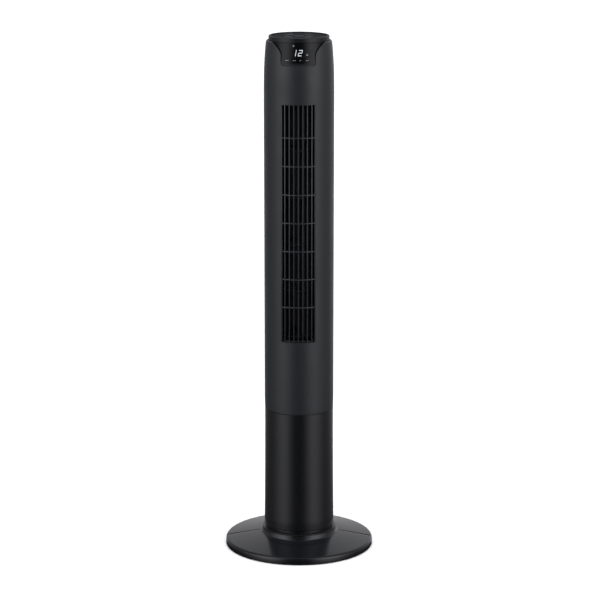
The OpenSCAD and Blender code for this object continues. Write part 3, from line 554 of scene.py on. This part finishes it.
def finish(piece, material, body, nodes=(), edge_mm=0.0, edge_steps=2, sharp=40):
    """Gives a piece its finish and its soft edges, and fixes it to its body."""
    mesh = piece.data
    mesh.materials.clear()
    mesh.materials.append(material)
    mesh.shade_smooth()
    if edge_mm:
        soft = piece.modifiers.new("soft_edges", "BEVEL")
        soft.width, soft.segments, soft.limit_method = edge_mm * MM, edge_steps, "ANGLE"
        soft.angle_limit = math.radians(sharp)
        soft.harden_normals = True
    else:
        mesh.set_sharp_from_angle(angle=math.radians(sharp))
    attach(piece, body)
    if nodes:
        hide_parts(*nodes)
    print(f"{piece.name}: {len(mesh.polygons)} faces on body {body}")
    return piece


# %% [markdown]
# ## Base
# The base is a shallow round dish in two halves that clip together round the column. Its top rises
# gently to a flared collar. Each half is the same section spun through half a turn. The front half
# dips by a millimetre where it meets the rear one, and this small step is what draws the dark
# parting line.

# %% Base halves
PARTING_DIP = 1.2 * MM


def base_top(r):
    """Height of the gently crowned top at radius r."""
    run = (r - COLLAR_R) / (BASE_R - 4 * MM - COLLAR_R)
    return BASE_EDGE_Z + (COLLAR_Z - BASE_EDGE_Z) * (1 - run ** 1.15)


def base_outline():
    edge_r = BASE_R - 4 * MM
    radii = [edge_r + (COLLAR_R - edge_r) * i / 16 for i in range(1, 17)]
    flare = [
        (COLLAR_R - (COLLAR_R - COLLAR_NECK_R) * math.sin(math.radians(a)),
         COLLAR_TOP - (COLLAR_TOP - COLLAR_Z) * math.cos(math.radians(a)))
        for a in range(10, 91, 10)
    ]
    outside = [(BASE_R, 1.5 * MM)] + arc((BASE_R - 6 * MM, BASE_EDGE_Z - 5.72 * MM), 6 * MM, 0, 79, 8)
    outside += [(r, base_top(r)) for r in radii] + flare
    lip = [(81 * MM, COLLAR_TOP), (81 * MM, 20 * MM), (60 * MM, 20 * MM), (60 * MM, 16.5 * MM)]
    lip += [(84.6 * MM, 16.5 * MM)]
    inside = [(84.6 * MM, COLLAR_Z - 3.6 * MM)] + [(r, base_top(r) - WALL) for r in reversed(radii[:-1])]
    return outside + lip + inside + [(BASE_R - WALL, 13 * MM), (BASE_R - WALL, 1.5 * MM)]


def base_half(name, start, node):
    shape = spun(base_outline(), start + 0.12, 179.76, 96)
    for corner in shape.verts:
        r = math.hypot(corner.co.x, corner.co.y)
        at_joint = abs(corner.co.y) < 1 * MM and r > COLLAR_R
        if start == 180 and at_joint and corner.co.z > base_top(r) - 0.5 * MM:
            corner.co.z -= PARTING_DIP
    for i in range(6):
        rib = block((84 * MM, -1 * MM, 6 * MM), (165.8 * MM, 1 * MM, 15 * MM))
        corner = [v for v in rib.verts if v.co.x < 0.1 and v.co.z > 0.01]
        bmesh.ops.translate(rib, vec=(0, 0, 11.4 * MM), verts=corner)
        around = Matrix.Rotation(math.radians(start + 15 + 30 * i), 3, "Z")
        bmesh.ops.rotate(rib, matrix=around, verts=rib.verts)
        pour(rib, shape)
    piece = as_object(shape, name)
    return finish(piece, base_abs, "stand", [node], edge_mm=0.35)


base_half("base_front_half", 180, "base_front")
base_half("base_rear_half", 0, "base_rear")

# %% [markdown]
# The ring between base and column hides the joint between them. A thin step under its lip leaves
# the dark line that shows where it sits in the collar.

# %% Collar ring
ring_outline = (
    [(74.3 * MM, 20.3 * MM), (80.7 * MM, 20.3 * MM), (80.7 * MM, COLLAR_TOP + 0.5 * MM)]
    + [(83.0 * MM, COLLAR_TOP + 0.5 * MM)]
    + arc((82.3 * MM, COLLAR_TOP + 1.0 * MM), 0.8 * MM, 0, 90)
    + [(74.3 * MM, COLLAR_TOP + 1.8 * MM)]
)
trim_ring = as_object(spun(ring_outline), "collar_trim_ring")
finish(trim_ring, collar_abs, "stand", ["collar_ring"], 0.3)

# %% [markdown]
# ## Column
# The column is a blow-moulded or injection-moulded sleeve with a smoother skin than the tower. The
# dark gap at its foot comes from its neck, which is narrower than its rounded lower edge.

# %% Column
def column_outline():
    skirt = COLUMN_SKIRT_Z + 3 * MM
    heights = [skirt + (COLUMN_TOP - 0.6 * MM - skirt) * i / 14 for i in range(15)]
    outside = [(0, 20 * MM), (74 * MM, 20 * MM), (74 * MM, COLUMN_SKIRT_Z)]
    outside += arc((column_radius(skirt) - 3 * MM, skirt), 3 * MM, -90, 0, 6)
    outside += [(column_radius(z), z) for z in heights[1:]]
    outside += [(COLUMN_R - 0.6 * MM, COLUMN_TOP), (COLUMN_R - WALL, COLUMN_TOP)]
    inside = [(COLUMN_R - WALL, skirt), (71.4 * MM, skirt), (71.4 * MM, 23.5 * MM), (0, 23.5 * MM)]
    return outside + inside


GLAND_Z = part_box("cord_gland")[0].z + 9 * MM
column = as_object(spun(column_outline()), "column_sleeve")
drill = bmesh.new()
bmesh.ops.create_cone(
    drill, cap_ends=True, segments=48, radius1=6.5 * MM, radius2=6.5 * MM, depth=30 * MM
)
bmesh.ops.rotate(drill, matrix=Matrix.Rotation(math.radians(90), 3, "X"), verts=drill.verts)
bmesh.ops.translate(drill, vec=(0, 77 * MM, GLAND_Z), verts=drill.verts)
carve(column, as_object(drill, "gland_drill"))
finish(column, column_abs, "stand", ["column"], 0.25)

# %% [markdown]
# The gland keeps the sharp edge of the hole away from the mains lead. It is a turned rubber shape
# with a groove that grips the wall, so it is spun lying down: first upright about Z, then tipped
# towards the back.

# %% Cord gland
gland_outline = (
    [(3.6 * MM, 0), (8.0 * MM, 0), (8.6 * MM, 0.6 * MM), (8.6 * MM, 2.4 * MM)]
    + [(6.3 * MM, 2.4 * MM), (6.3 * MM, 7.6 * MM)]
    + [(9 * MM, 7.6 * MM)] + arc((7.6 * MM, 8.6 * MM), 1.4 * MM, 0, 90) + [(3.6 * MM, 10 * MM)]
)
gland = spun(gland_outline, steps=64)
bmesh.ops.rotate(gland, matrix=Matrix.Rotation(math.radians(-90), 3, "X"), verts=gland.verts)
bmesh.ops.translate(gland, vec=(0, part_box("cord_gland")[0].y, GLAND_Z), verts=gland.verts)
finish(as_object(gland, "cord_grommet"), rubber, "stand", ["cord_gland"])


# %% [markdown]
# ## Tower shells
# The front and rear shells share one section: a plain wall whose crown leans in and ends in a
# rounded shoulder. The openings are carved afterwards, so their edges are crisp, and the soft-edge
# modifier then rounds every rim by half a millimetre, which is what catches the light.

# %% Section of the shells
def shell_outline():
    crown = [CROWN_Z + (SHOULDER_Z - CROWN_Z) * i / 18 for i in range(19)]
    heights = [SHELL_Z0 + 0.5 * MM, SHELL_Z0 + 26 * MM] + crown
    lip = tower_radius(SHOULDER_Z) - SHOULDER_R
    outside = [(tower_radius(SHELL_Z0) - 0.5 * MM, SHELL_Z0)] + [(tower_radius(z), z) for z in heights]
    shoulder = [
        (SHOULDER_R + lip * math.cos(math.radians(a)),
         SHOULDER_Z + (SHELL_TOP - SHOULDER_Z) * math.sin(math.radians(a)))
        for a in range(10, 91, 10)
    ]
    inside = [(SHOULDER_R, SHELL_TOP - 1.6 * MM), (SHOULDER_R + lip - WALL, SHOULDER_Z)]
    inside += [(tower_radius(z) - WALL, z) for z in reversed(heights[1::4])]
    return outside + shoulder + inside + [(tower_radius(SHELL_Z0) - WALL, SHELL_Z0)]


def lens_prism(grow, foot=0, flare=0, y_near=-20 * MM, y_far=-90 * MM):
    """The rounded outline of the display, grown at its sides and foot, pushed through the tower's front."""
    corner = 6 * MM
    top = TOTAL_H - 8 * MM + grow
    side = arc(
        (lens_half(LENS_Z0) - corner, LENS_Z0 + 1.5 * MM + corner), corner + grow, -90, 0, 8
    )
    heights = [LENS_SIDE_Z + (top - LENS_SIDE_Z) * i / 16 for i in range(17)]
    side += [(lens_half(z) + grow - flare * (z - LENS_SIDE_Z) / (28 * MM), z) for z in heights]
    sag = [
        (x, LENS_Z0 - foot + 1.5 * MM * (x / (32 * MM)) ** 2)
        for x in [i * 4 * MM for i in range(0, 8)]
    ]
    right = sag + side
    outline = right + [(-x, z) for x, z in reversed(right) if x > 0]
    shape = bmesh.new()
    face = shape.faces.new([shape.verts.new((x, y_near, z)) for x, z in outline])
    pushed = bmesh.ops.extrude_face_region(shape, geom=[face])
    moved = [v for v in pushed["geom"] if isinstance(v, bmesh.types.BMVert)]
    bmesh.ops.translate(shape, vec=(0, y_far - y_near, 0), verts=moved)
    return as_object(shape, "display_cutter")


# %% Front shell
front_shell = as_object(
    spun(shell_outline(), FRONT - SEAM_ANGLE + 0.12, 2 * SEAM_ANGLE - 0.24, 96), "front_shell"
)
window = block((-GRILLE_HALF, -90 * MM, GRILLE_Z0), (GRILLE_HALF, -40 * MM, GRILLE_Z1))
carve(front_shell, as_object(window, "window"))
carve(front_shell, lens_prism(0.9 * MM, 0.12 * MM))
finish(front_shell, housing_abs, "tower", ["front_housing"], 0.55, 3)

# %% [markdown]
# The rear shell has the wide window of the intake, a pocket for the hand that carries the fan and
# six deep holes for the screws that hold the two shells together. The pocket is a box of its own,
# trimmed to the curve of the wall and joined to the shell.

# %% Rear shell
GRIP_LOW = Vector((-42 * MM, 46 * MM, TOTAL_H - 108 * MM))
GRIP_HIGH = Vector((42 * MM, 90 * MM, TOTAL_H - 66 * MM))
BOSS_X, BOSS_SPLIT_Y = 52 * MM, -10 * MM
BOSS_HEIGHTS = [0.352, 1.046, TOTAL_H - 72 * MM]
INTAKE_ANGLE = 70


def bore(x, z, radius, y0, y1, segments=40):
    """A straight drill along Y."""
    shape = bmesh.new()
    bmesh.ops.create_cone(
        shape, cap_ends=True, segments=segments, radius1=radius, radius2=radius, depth=y1 - y0
    )
    bmesh.ops.rotate(shape, matrix=Matrix.Rotation(math.radians(90), 3, "X"), verts=shape.verts)
    bmesh.ops.translate(shape, vec=(x, (y0 + y1) / 2, z), verts=shape.verts)
    return shape


rear_shell = as_object(
    spun(shell_outline(), FRONT + SEAM_ANGLE + 0.12, 360 - 2 * SEAM_ANGLE - 0.24, 144), "rear_shell"
)
window_outline = [(70 * MM, GRILLE_Z0), (84 * MM, GRILLE_Z0), (84 * MM, GRILLE_Z1), (70 * MM, GRILLE_Z1)]
intake = spun(window_outline, 90 - INTAKE_ANGLE, 2 * INTAKE_ANGLE, 84)
carve(rear_shell, as_object(intake, "intake_window"))
carve(rear_shell, as_object(block(GRIP_LOW, GRIP_HIGH, 5), "grip_cutter"))
pocket = as_object(
    block(GRIP_LOW - Vector((WALL, WALL, WALL)), GRIP_HIGH + Vector((WALL, 0, WALL)), 6), "grip_pocket"
)
trim_r, trim_low, trim_high = TOWER_R - 1.8 * MM, TOTAL_H - 0.13, TOTAL_H - 0.04
trim_outline = [(0, trim_low), (trim_r, trim_low), (trim_r, trim_high), (0, trim_high)]
carve(pocket, as_object(spun(trim_outline), "pocket_trim"), "INTERSECT")
carve(pocket, as_object(block(GRIP_LOW, GRIP_HIGH, 5), "grip_cutter"))
carve(rear_shell, pocket, "UNION")
for x in (-BOSS_X, BOSS_X):
    for z in BOSS_HEIGHTS:
        reach = math.sqrt((tower_radius(z) - WALL / 2) ** 2 - (BOSS_X + 6 * MM) ** 2)
        carve(rear_shell, as_object(bore(x, z, 6 * MM, BOSS_SPLIT_Y, reach), "boss"), "UNION")
        carve(rear_shell, as_object(bore(x, z, 4.4 * MM, BOSS_SPLIT_Y + 4 * MM, 0.09), "screw_well"))
finish(rear_shell, housing_abs, "tower", ["rear_housing"], 0.55, 3)


# %% [markdown]
# ## Grilles
# The front grille is a comb of upright slats held by level ribs. The front edge of each slat lies
# on the curve of the tower, so each is a block whose front corners are moved back to that curve
# before its edges are rounded: slats at the side then face the side, and catch the light there.

# %% Front grille
def merged(parts, name):
    """Joins several bmeshes into one object."""
    whole = bmesh.new()
    for part in parts:
        pour(clean(part), whole)
    return as_object(whole, name)


SLAT_PITCH, SLATS, SLAT_T = 9.95 * MM, 7, 2 * MM
GRILLE_R = TOWER_R - 0.6 * MM
GRILLE_LOW, GRILLE_TOP = GRILLE_Z0 + 0.3 * MM, GRILLE_Z1 - 0.3 * MM


def slat(x, thickness, depth):
    front = -math.sqrt(GRILLE_R ** 2 - x ** 2)
    bar = block((x - thickness / 2, front, GRILLE_LOW), (x + thickness / 2, front + depth, GRILLE_TOP))
    for corner in bar.verts:
        if corner.co.y < front + depth / 2:
            corner.co.y = -math.sqrt(GRILLE_R ** 2 - corner.co.x ** 2)
    bmesh.ops.bevel(
        bar, geom=list(bar.edges), offset=0.45 * MM, segments=4, profile=0.5, affect="EDGES", material=-1
    )
    return bar


def level_rib(z, thickness, r_out, depth):
    half = math.degrees(math.asin((GRILLE_HALF - 0.4 * MM) / r_out))
    outline = [(r_out - depth, z), (r_out - depth, z + thickness)]
    outline += [(r_out - 0.4 * MM, z + thickness), (r_out, z + thickness / 2), (r_out - 0.4 * MM, z)]
    return spun(outline, FRONT - half, 2 * half, 24)


grille_parts = [slat((i - (SLATS - 1) / 2) * SLAT_PITCH, SLAT_T, 9 * MM) for i in range(SLATS)]
grille_parts += [slat(side * (GRILLE_HALF - 1.2 * MM), 1.6 * MM, 16 * MM) for side in (-1, 1)]
RIBS = 7
rib_pitch = (GRILLE_TOP - GRILLE_LOW) / (RIBS + 1.4)
grille_parts += [
    level_rib(GRILLE_LOW + (i + 1.25) * rib_pitch - 1 * MM, 2 * MM, GRILLE_R - 0.7 * MM, 8 * MM)
    for i in range(RIBS)
]
grille_parts += [
    level_rib(z, 1.8 * MM, GRILLE_R - 5 * MM, 8 * MM) for z in (GRILLE_LOW, GRILLE_TOP - 1.8 * MM)
]
front_grille = merged(grille_parts, "front_grille")
finish(front_grille, grille_abs, "tower", ["outlet_grille"])

# %% [markdown]
# The rear grille is finer, because it is easier to reach the wheel from there. Sixty level ribs
# follow the tower's curve, on seven upright bars set a little further in.

# %% Rear grille
INTAKE_RIBS, INTAKE_BARS = 60, 7
rear_start, rear_span = 90 - INTAKE_ANGLE + 0.3, 2 * (INTAKE_ANGLE - 0.3)
rear_pitch = (GRILLE_TOP - GRILLE_LOW - 2.4 * MM) / (INTAKE_RIBS - 1)
rear_parts = []
for i in range(INTAKE_RIBS):
    z = GRILLE_LOW + i * rear_pitch
    r = TOWER_R - 0.3 * MM
    outline = [(r - 2.3 * MM, z + 0.3 * MM), (r - 2.3 * MM, z + 2.1 * MM), (r - 0.6 * MM, z + 2.4 * MM)]
    outline += [(r, z + 1.9 * MM), (r, z + 0.5 * MM), (r - 0.6 * MM, z)]
    rear_parts.append(spun(outline, rear_start, rear_span, 56))
for i in range(INTAKE_BARS):
    outline = [(TOWER_R - 3.4 * MM, GRILLE_LOW), (TOWER_R - 3.4 * MM, GRILLE_TOP)]
    outline += [(TOWER_R - 0.7 * MM, GRILLE_TOP), (TOWER_R - 0.7 * MM, GRILLE_LOW)]
    rear_parts.append(spun(outline, rear_start + i * (rear_span - 2) / (INTAKE_BARS - 1), 2, 3))
rear_grille = merged(rear_parts, "rear_grille")
finish(rear_grille, grille_abs, "tower", ["intake_grille"])

# %% [markdown]
# ## Fan wheel
# A cross-flow wheel is a long cage of forward-curved blades. One blade is a thin arc pushed up the
# full height; a spin with copies then sets it round the axis. The first blade stands nine degrees
# back from the side, three fifths of a blade's step: seen from the camera, the gaps at the front
# then don't line up with those at the back, and no daylight shows through.

# %% Wheel
WHEEL_Y = 8 * MM
WHEEL_LOW, WHEEL_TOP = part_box("fan_wheel")[0].z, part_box("fan_wheel")[1].z
WHEEL_R, BLADES, DISCS = 44 * MM, 24, 6
FIRST_BLADE = math.radians(-9)


def blade():
    """A blade 12 mm deep and 0.9 mm thick, bent along a quarter-round arc."""
    shape = bmesh.new()
    bend = 10.5 * MM
    inner = arc((WHEEL_R - 11.5 * MM, bend), bend - 0.9 * MM, -100, -8, 8)
    outer = arc((WHEEL_R - 11.5 * MM, bend), bend, -8, -100, 8)
    face = shape.faces.new([shape.verts.new((x, y, WHEEL_LOW)) for x, y in inner + outer])
    pushed = bmesh.ops.extrude_face_region(shape, geom=[face])
    top = [v for v in pushed["geom"] if isinstance(v, bmesh.types.BMVert)]
    bmesh.ops.translate(shape, vec=(0, 0, WHEEL_TOP - WHEEL_LOW), verts=top)
    bmesh.ops.rotate(shape, matrix=Matrix.Rotation(FIRST_BLADE, 3, "Z"), verts=shape.verts)
    return clean(shape)


cage = blade()
bmesh.ops.spin(
    cage, geom=list(cage.verts) + list(cage.edges) + list(cage.faces), cent=(0, 0, 0), axis=(0, 0, 1),
    angle=math.radians(360 * (BLADES - 1) / BLADES), steps=BLADES - 1, use_duplicate=True,
)
cage_parts = [cage]
disc_pitch = (WHEEL_TOP - WHEEL_LOW - 2 * MM) / (DISCS - 1)
for i in range(DISCS):
    hole = 9 * MM if i in (0, DISCS - 1) else WHEEL_R - 13.2 * MM
    z = WHEEL_LOW + i * disc_pitch
    outline = [(hole, z), (hole, z + 2 * MM), (WHEEL_R - 0.4 * MM, z + 2 * MM)]
    outline += [(WHEEL_R, z + 1 * MM), (WHEEL_R - 0.4 * MM, z)]
    cage_parts.append(spun(outline, steps=72))
wheel = merged(cage_parts, "blade_cage")
wheel.data.transform(Matrix.Translation((0, WHEEL_Y, 0)))
finish(wheel, wheel_abs, "wheel", ["fan_wheel"])

# %% [markdown]
# ## Control head
# The display face is a smoked acrylic sheet that leans back towards the cap. It is spun as a thick
# leaning band and then cut to its outline, so its surface stays perfectly round.

# %% Display face
lens_heights = [LENS_Z0 - 1 * MM + (CAP_Z - 0.3 * MM - LENS_Z0 + 1 * MM) * i / 20 for i in range(21)]
lens_section = [(lens_radius(z), z) for z in lens_heights]
lens_section += [(lens_radius(z) - 2.2 * MM, z) for z in reversed(lens_heights[::4])]
display = as_object(spun(lens_section, 195, 150, 150), "display_face")
carve(display, lens_prism(0, flare=1.6 * MM), "INTERSECT")
finish(display, lens_pmma, "tower", ["display_lens"], 0.2, 2)

# %% [markdown]
# Digits and icons shine through the smoked sheet from lamps behind it. Each bar of light is a small
# block that is leaned over, like the slanted figures of a clock, and then laid on the curve of the
# sheet.

# %% Lit digits and icons
def lit(name, shade, strength):
    """A lamp's glow through smoked acrylic; a fine noise keeps it from looking like paper."""
    made, tree, shader = material(name)
    place = add_node(tree, "ShaderNodeTexCoord", {})
    flicker = add_node(
        tree, "ShaderNodeTexNoise",
        {"Scale": 1 / (1.5 * MM), "Detail": 2.0}, {"Vector": place.outputs["Object"]},
    )
    glow = add_node(tree, "ShaderNodeMix", {"data_type": "RGBA"}, {"Factor": flicker.outputs["Fac"]})
    glow.inputs[6].default_value = colour(shade)
    glow.inputs[7].default_value = colour("#ffffff")
    tree.links.new(glow.outputs[2], shader.inputs["Emission Color"])
    shader.inputs["Emission Strength"].default_value = strength
    shader.inputs["Base Color"].default_value = colour("#1a1c20")
    shader.inputs["Roughness"].default_value = 0.3
    return made


digit_light = lit("LED_white_digits", "#dfe8ff", 1.0)
icon_light = lit("LED_white_icons", "#d5ddf0", 0.38)
DIGIT_Z, DIGIT_H, STROKE, SLANT = TOTAL_H - 31.4 * MM, 13.4 * MM, 1.8 * MM, 0.2


def light_bar(x0, z0, x1, z1, round_mm=0.3, lean_from=None):
    """A lit block between two corners in millimetres, laid on the display face."""
    bar = block((x0 * MM, -0.25 * MM, z0), (x1 * MM, 0.03 * MM, z1), round_mm)
    long_edges = [e for e in bar.edges if abs(e.verts[0].co.x - e.verts[1].co.x) > 0.5 * MM]
    bmesh.ops.subdivide_edges(bar, edges=long_edges, cuts=5, use_grid_fill=True)
    for corner in bar.verts:
        if lean_from is not None:
            corner.co.x += SLANT * (corner.co.z - lean_from)
        skin = math.sqrt(lens_radius(corner.co.z) ** 2 - corner.co.x ** 2)
        corner.co.y = -skin - corner.co.y
    return bar


def digit(x, segments):
    """A seven-segment digit: a top, b and c right, d foot, e and f left, g middle."""
    half_w, half_h, s = 3.6, DIGIT_H / 2, 0.75
    low, high = DIGIT_Z - half_h, DIGIT_Z + half_h
    left, right = x - half_w, x + half_w
    places = {
        "a": (left, high - STROKE, right, high),
        "g": (left, DIGIT_Z - STROKE / 2, right, DIGIT_Z + STROKE / 2),
        "d": (left, low, right, low + STROKE),
        "b": (right - s, DIGIT_Z, right + s, high),
        "c": (right - s, low, right + s, DIGIT_Z),
        "e": (left - s, low, left + s, DIGIT_Z),
        "f": (left - s, DIGIT_Z, left + s, high),
    }
    return [light_bar(*places[key], lean_from=DIGIT_Z) for key in segments]


digits = merged(digit(-9.0, "bc") + digit(4.4, "abged"), "display_digits")
finish(digits, digit_light, "tower", ["display_lens"])

icon_parts = []
fan_z, home_z, row_z = TOTAL_H - 16.2 * MM, TOTAL_H - 35 * MM, TOTAL_H - 47.4 * MM
icon_parts += [
    light_bar(-11.3, fan_z - 2.6 * MM, -10.1, fan_z - 0.8 * MM),
    light_bar(-11.3, fan_z + 0.8 * MM, -10.1, fan_z + 2.6 * MM),
    light_bar(-13.3, fan_z - 0.6 * MM, -8.1, fan_z + 0.6 * MM),
    light_bar(17.0, home_z - 1.7 * MM, 22.0, home_z - 0.3 * MM),
    light_bar(18.0, home_z + 0.3 * MM, 20.4, home_z + 1.6 * MM),
]
for x, width in ((-26.0, 5.2), (-9.8, 3.4), (3.4, 1.6), (18.4, 3.2)):
    icon_parts += [
        light_bar(x - width / 2, row_z - 0.6 * MM, x + width / 2, row_z + 0.7 * MM),
        light_bar(x + width / 2 + 0.8, row_z - 0.6 * MM, x + width / 2 + 2.0, row_z + 1.5 * MM),
    ]
finish(merged(icon_parts, "display_icons"), icon_light, "tower", ["display_lens"])

# %% [markdown]
# The cap is a ring with a rounded rim, and the control disc lies in it a little below the rim.

# %% Cap and control disc
PANEL_R, PANEL_TOP, PANEL_Z = 63.2 * MM, TOTAL_H - 2 * MM, TOTAL_H - 5.8 * MM
cap_outline = (
    [(62.2 * MM, CAP_Z), (67.0 * MM, CAP_Z), (67.3 * MM, CAP_Z + 0.3 * MM)]
    + arc((65.3 * MM, TOTAL_H - 2 * MM), 2 * MM, 0, 90)
    + [(64.3 * MM, TOTAL_H), (63.7 * MM, TOTAL_H - 0.4 * MM)]
    + [(63.5 * MM, TOTAL_H - 1 * MM), (63.5 * MM, PANEL_Z - 0.2 * MM)]
    + [(58.2 * MM, PANEL_Z - 0.2 * MM), (58.2 * MM, PANEL_Z - 2.2 * MM), (60.6 * MM, PANEL_Z - 2.2 * MM)]
    + [(60.6 * MM, CAP_Z - 4 * MM), (62.2 * MM, CAP_Z - 4 * MM)]
)
finish(as_object(spun(cap_outline), "cap_ring"), cap_abs, "tower", ["top_cap"])

KEY_R0, KEY_R1, KEY_ANGLE, BUTTON_R = 24 * MM, 38 * MM, 44, 11.5 * MM
KEY_GAP = 0.4 * MM
disc_outline = [(0, PANEL_Z), (PANEL_R, PANEL_Z), (PANEL_R, PANEL_TOP - 0.5 * MM)]
disc_outline += [(PANEL_R - 0.5 * MM, PANEL_TOP), (0, PANEL_TOP)]
disc = as_object(spun(disc_outline), "control_disc")


def sector(r0, r1, z0, z1, start, span, steps=24):
    """A part of a ring with a square section."""
    return spun([(r0, z0), (r1, z0), (r1, z1), (r0, z1)], start, span, steps)


for i in range(4):
    start = 45 + 90 * i - KEY_ANGLE / 2 - 0.8
    slot = sector(
        KEY_R0 - KEY_GAP, KEY_R1 + KEY_GAP, PANEL_Z - 1 * MM, PANEL_TOP + 1 * MM, start, KEY_ANGLE + 1.6
    )
    carve(disc, as_object(slot, "slot"))
button_hole = [(0, PANEL_Z - 1 * MM), (BUTTON_R + KEY_GAP, PANEL_Z - 1 * MM)]
button_hole += [(BUTTON_R + KEY_GAP, PANEL_TOP + 1 * MM), (0, PANEL_TOP + 1 * MM)]
carve(disc, as_object(spun(button_hole), "hole"))
finish(disc, panel_abs, "tower", ["control_panel"], 0.25)

# %% [markdown]
# Keys are crowned so that a finger finds them. The round power button is spun aluminium with a
# shallow dish, the four curved keys round it are satin plastic.

# %% Keys and power button
def crowned(r0, r1, z0, z1, crown):
    """Outline of a key: soft shoulders and a top that rises by crown in its middle."""
    width = r1 - r0
    top = [
        (r1 - 0.6 * MM - (width - 1.2 * MM) * i / 6, z1 + crown * math.sin(math.pi * i / 6))
        for i in range(7)
    ]
    return [(r0, z0), (r1, z0), (r1, z1 - 0.6 * MM)] + top + [(r0, z1 - 0.6 * MM)]


def key_stem(x, y, low):
    """The round leg of a key, which reaches down to its switch."""
    leg = bmesh.new()
    bmesh.ops.create_cone(leg, cap_ends=True, segments=24, radius1=3 * MM, radius2=3 * MM, depth=6 * MM)
    bmesh.ops.translate(leg, vec=(x, y, low + 3 * MM), verts=leg.verts)
    return leg


for i, name in enumerate(["speed_key", "timer_key", "swing_key", "mode_key"]):
    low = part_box(name)[0].z
    key = spun(
        crowned(KEY_R0, KEY_R1, PANEL_Z - 1.6 * MM, PANEL_TOP + 0.3 * MM, 0.1 * MM),
        45 + 90 * i - KEY_ANGLE / 2, KEY_ANGLE, 24,
    )
    flange = sector(
        KEY_R0 - 1.5 * MM, KEY_R1 + 1.5 * MM, PANEL_Z - 1.6 * MM, PANEL_Z - 0.4 * MM,
        45 + 90 * i - KEY_ANGLE / 2 - 2, KEY_ANGLE + 4,
    )
    middle = math.radians(45 + 90 * i)
    stem = key_stem(31 * MM * math.cos(middle), 31 * MM * math.sin(middle), low)
    keycap = merged([key, flange, stem], name.replace("key", "keycap"))
    finish(keycap, key_abs, name, [name], sharp=30)

flange_r = 13.5 * MM
button_outline = [(0, PANEL_Z - 1.6 * MM), (flange_r, PANEL_Z - 1.6 * MM)]
button_outline += [(flange_r, PANEL_Z - 0.4 * MM), (BUTTON_R, PANEL_Z - 0.4 * MM)]
button_outline += [(BUTTON_R, PANEL_TOP + 0.3 * MM), (BUTTON_R - 0.5 * MM, PANEL_TOP + 0.8 * MM)]
button_outline += [(BUTTON_R - 1.3 * MM, PANEL_TOP + 0.8 * MM)]
button_outline += [
    (BUTTON_R * (1 - i / 6), PANEL_TOP + 0.6 * MM - 0.25 * MM * math.sin(math.pi / 2 * i / 6))
    for i in range(1, 7)
]
button = spun(button_outline, steps=96)
power_cap = merged([button, key_stem(0, 0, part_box("power_button")[0].z)], "power_cap")
finish(power_cap, spun_aluminium, "power_button", ["power_button"], sharp=30)
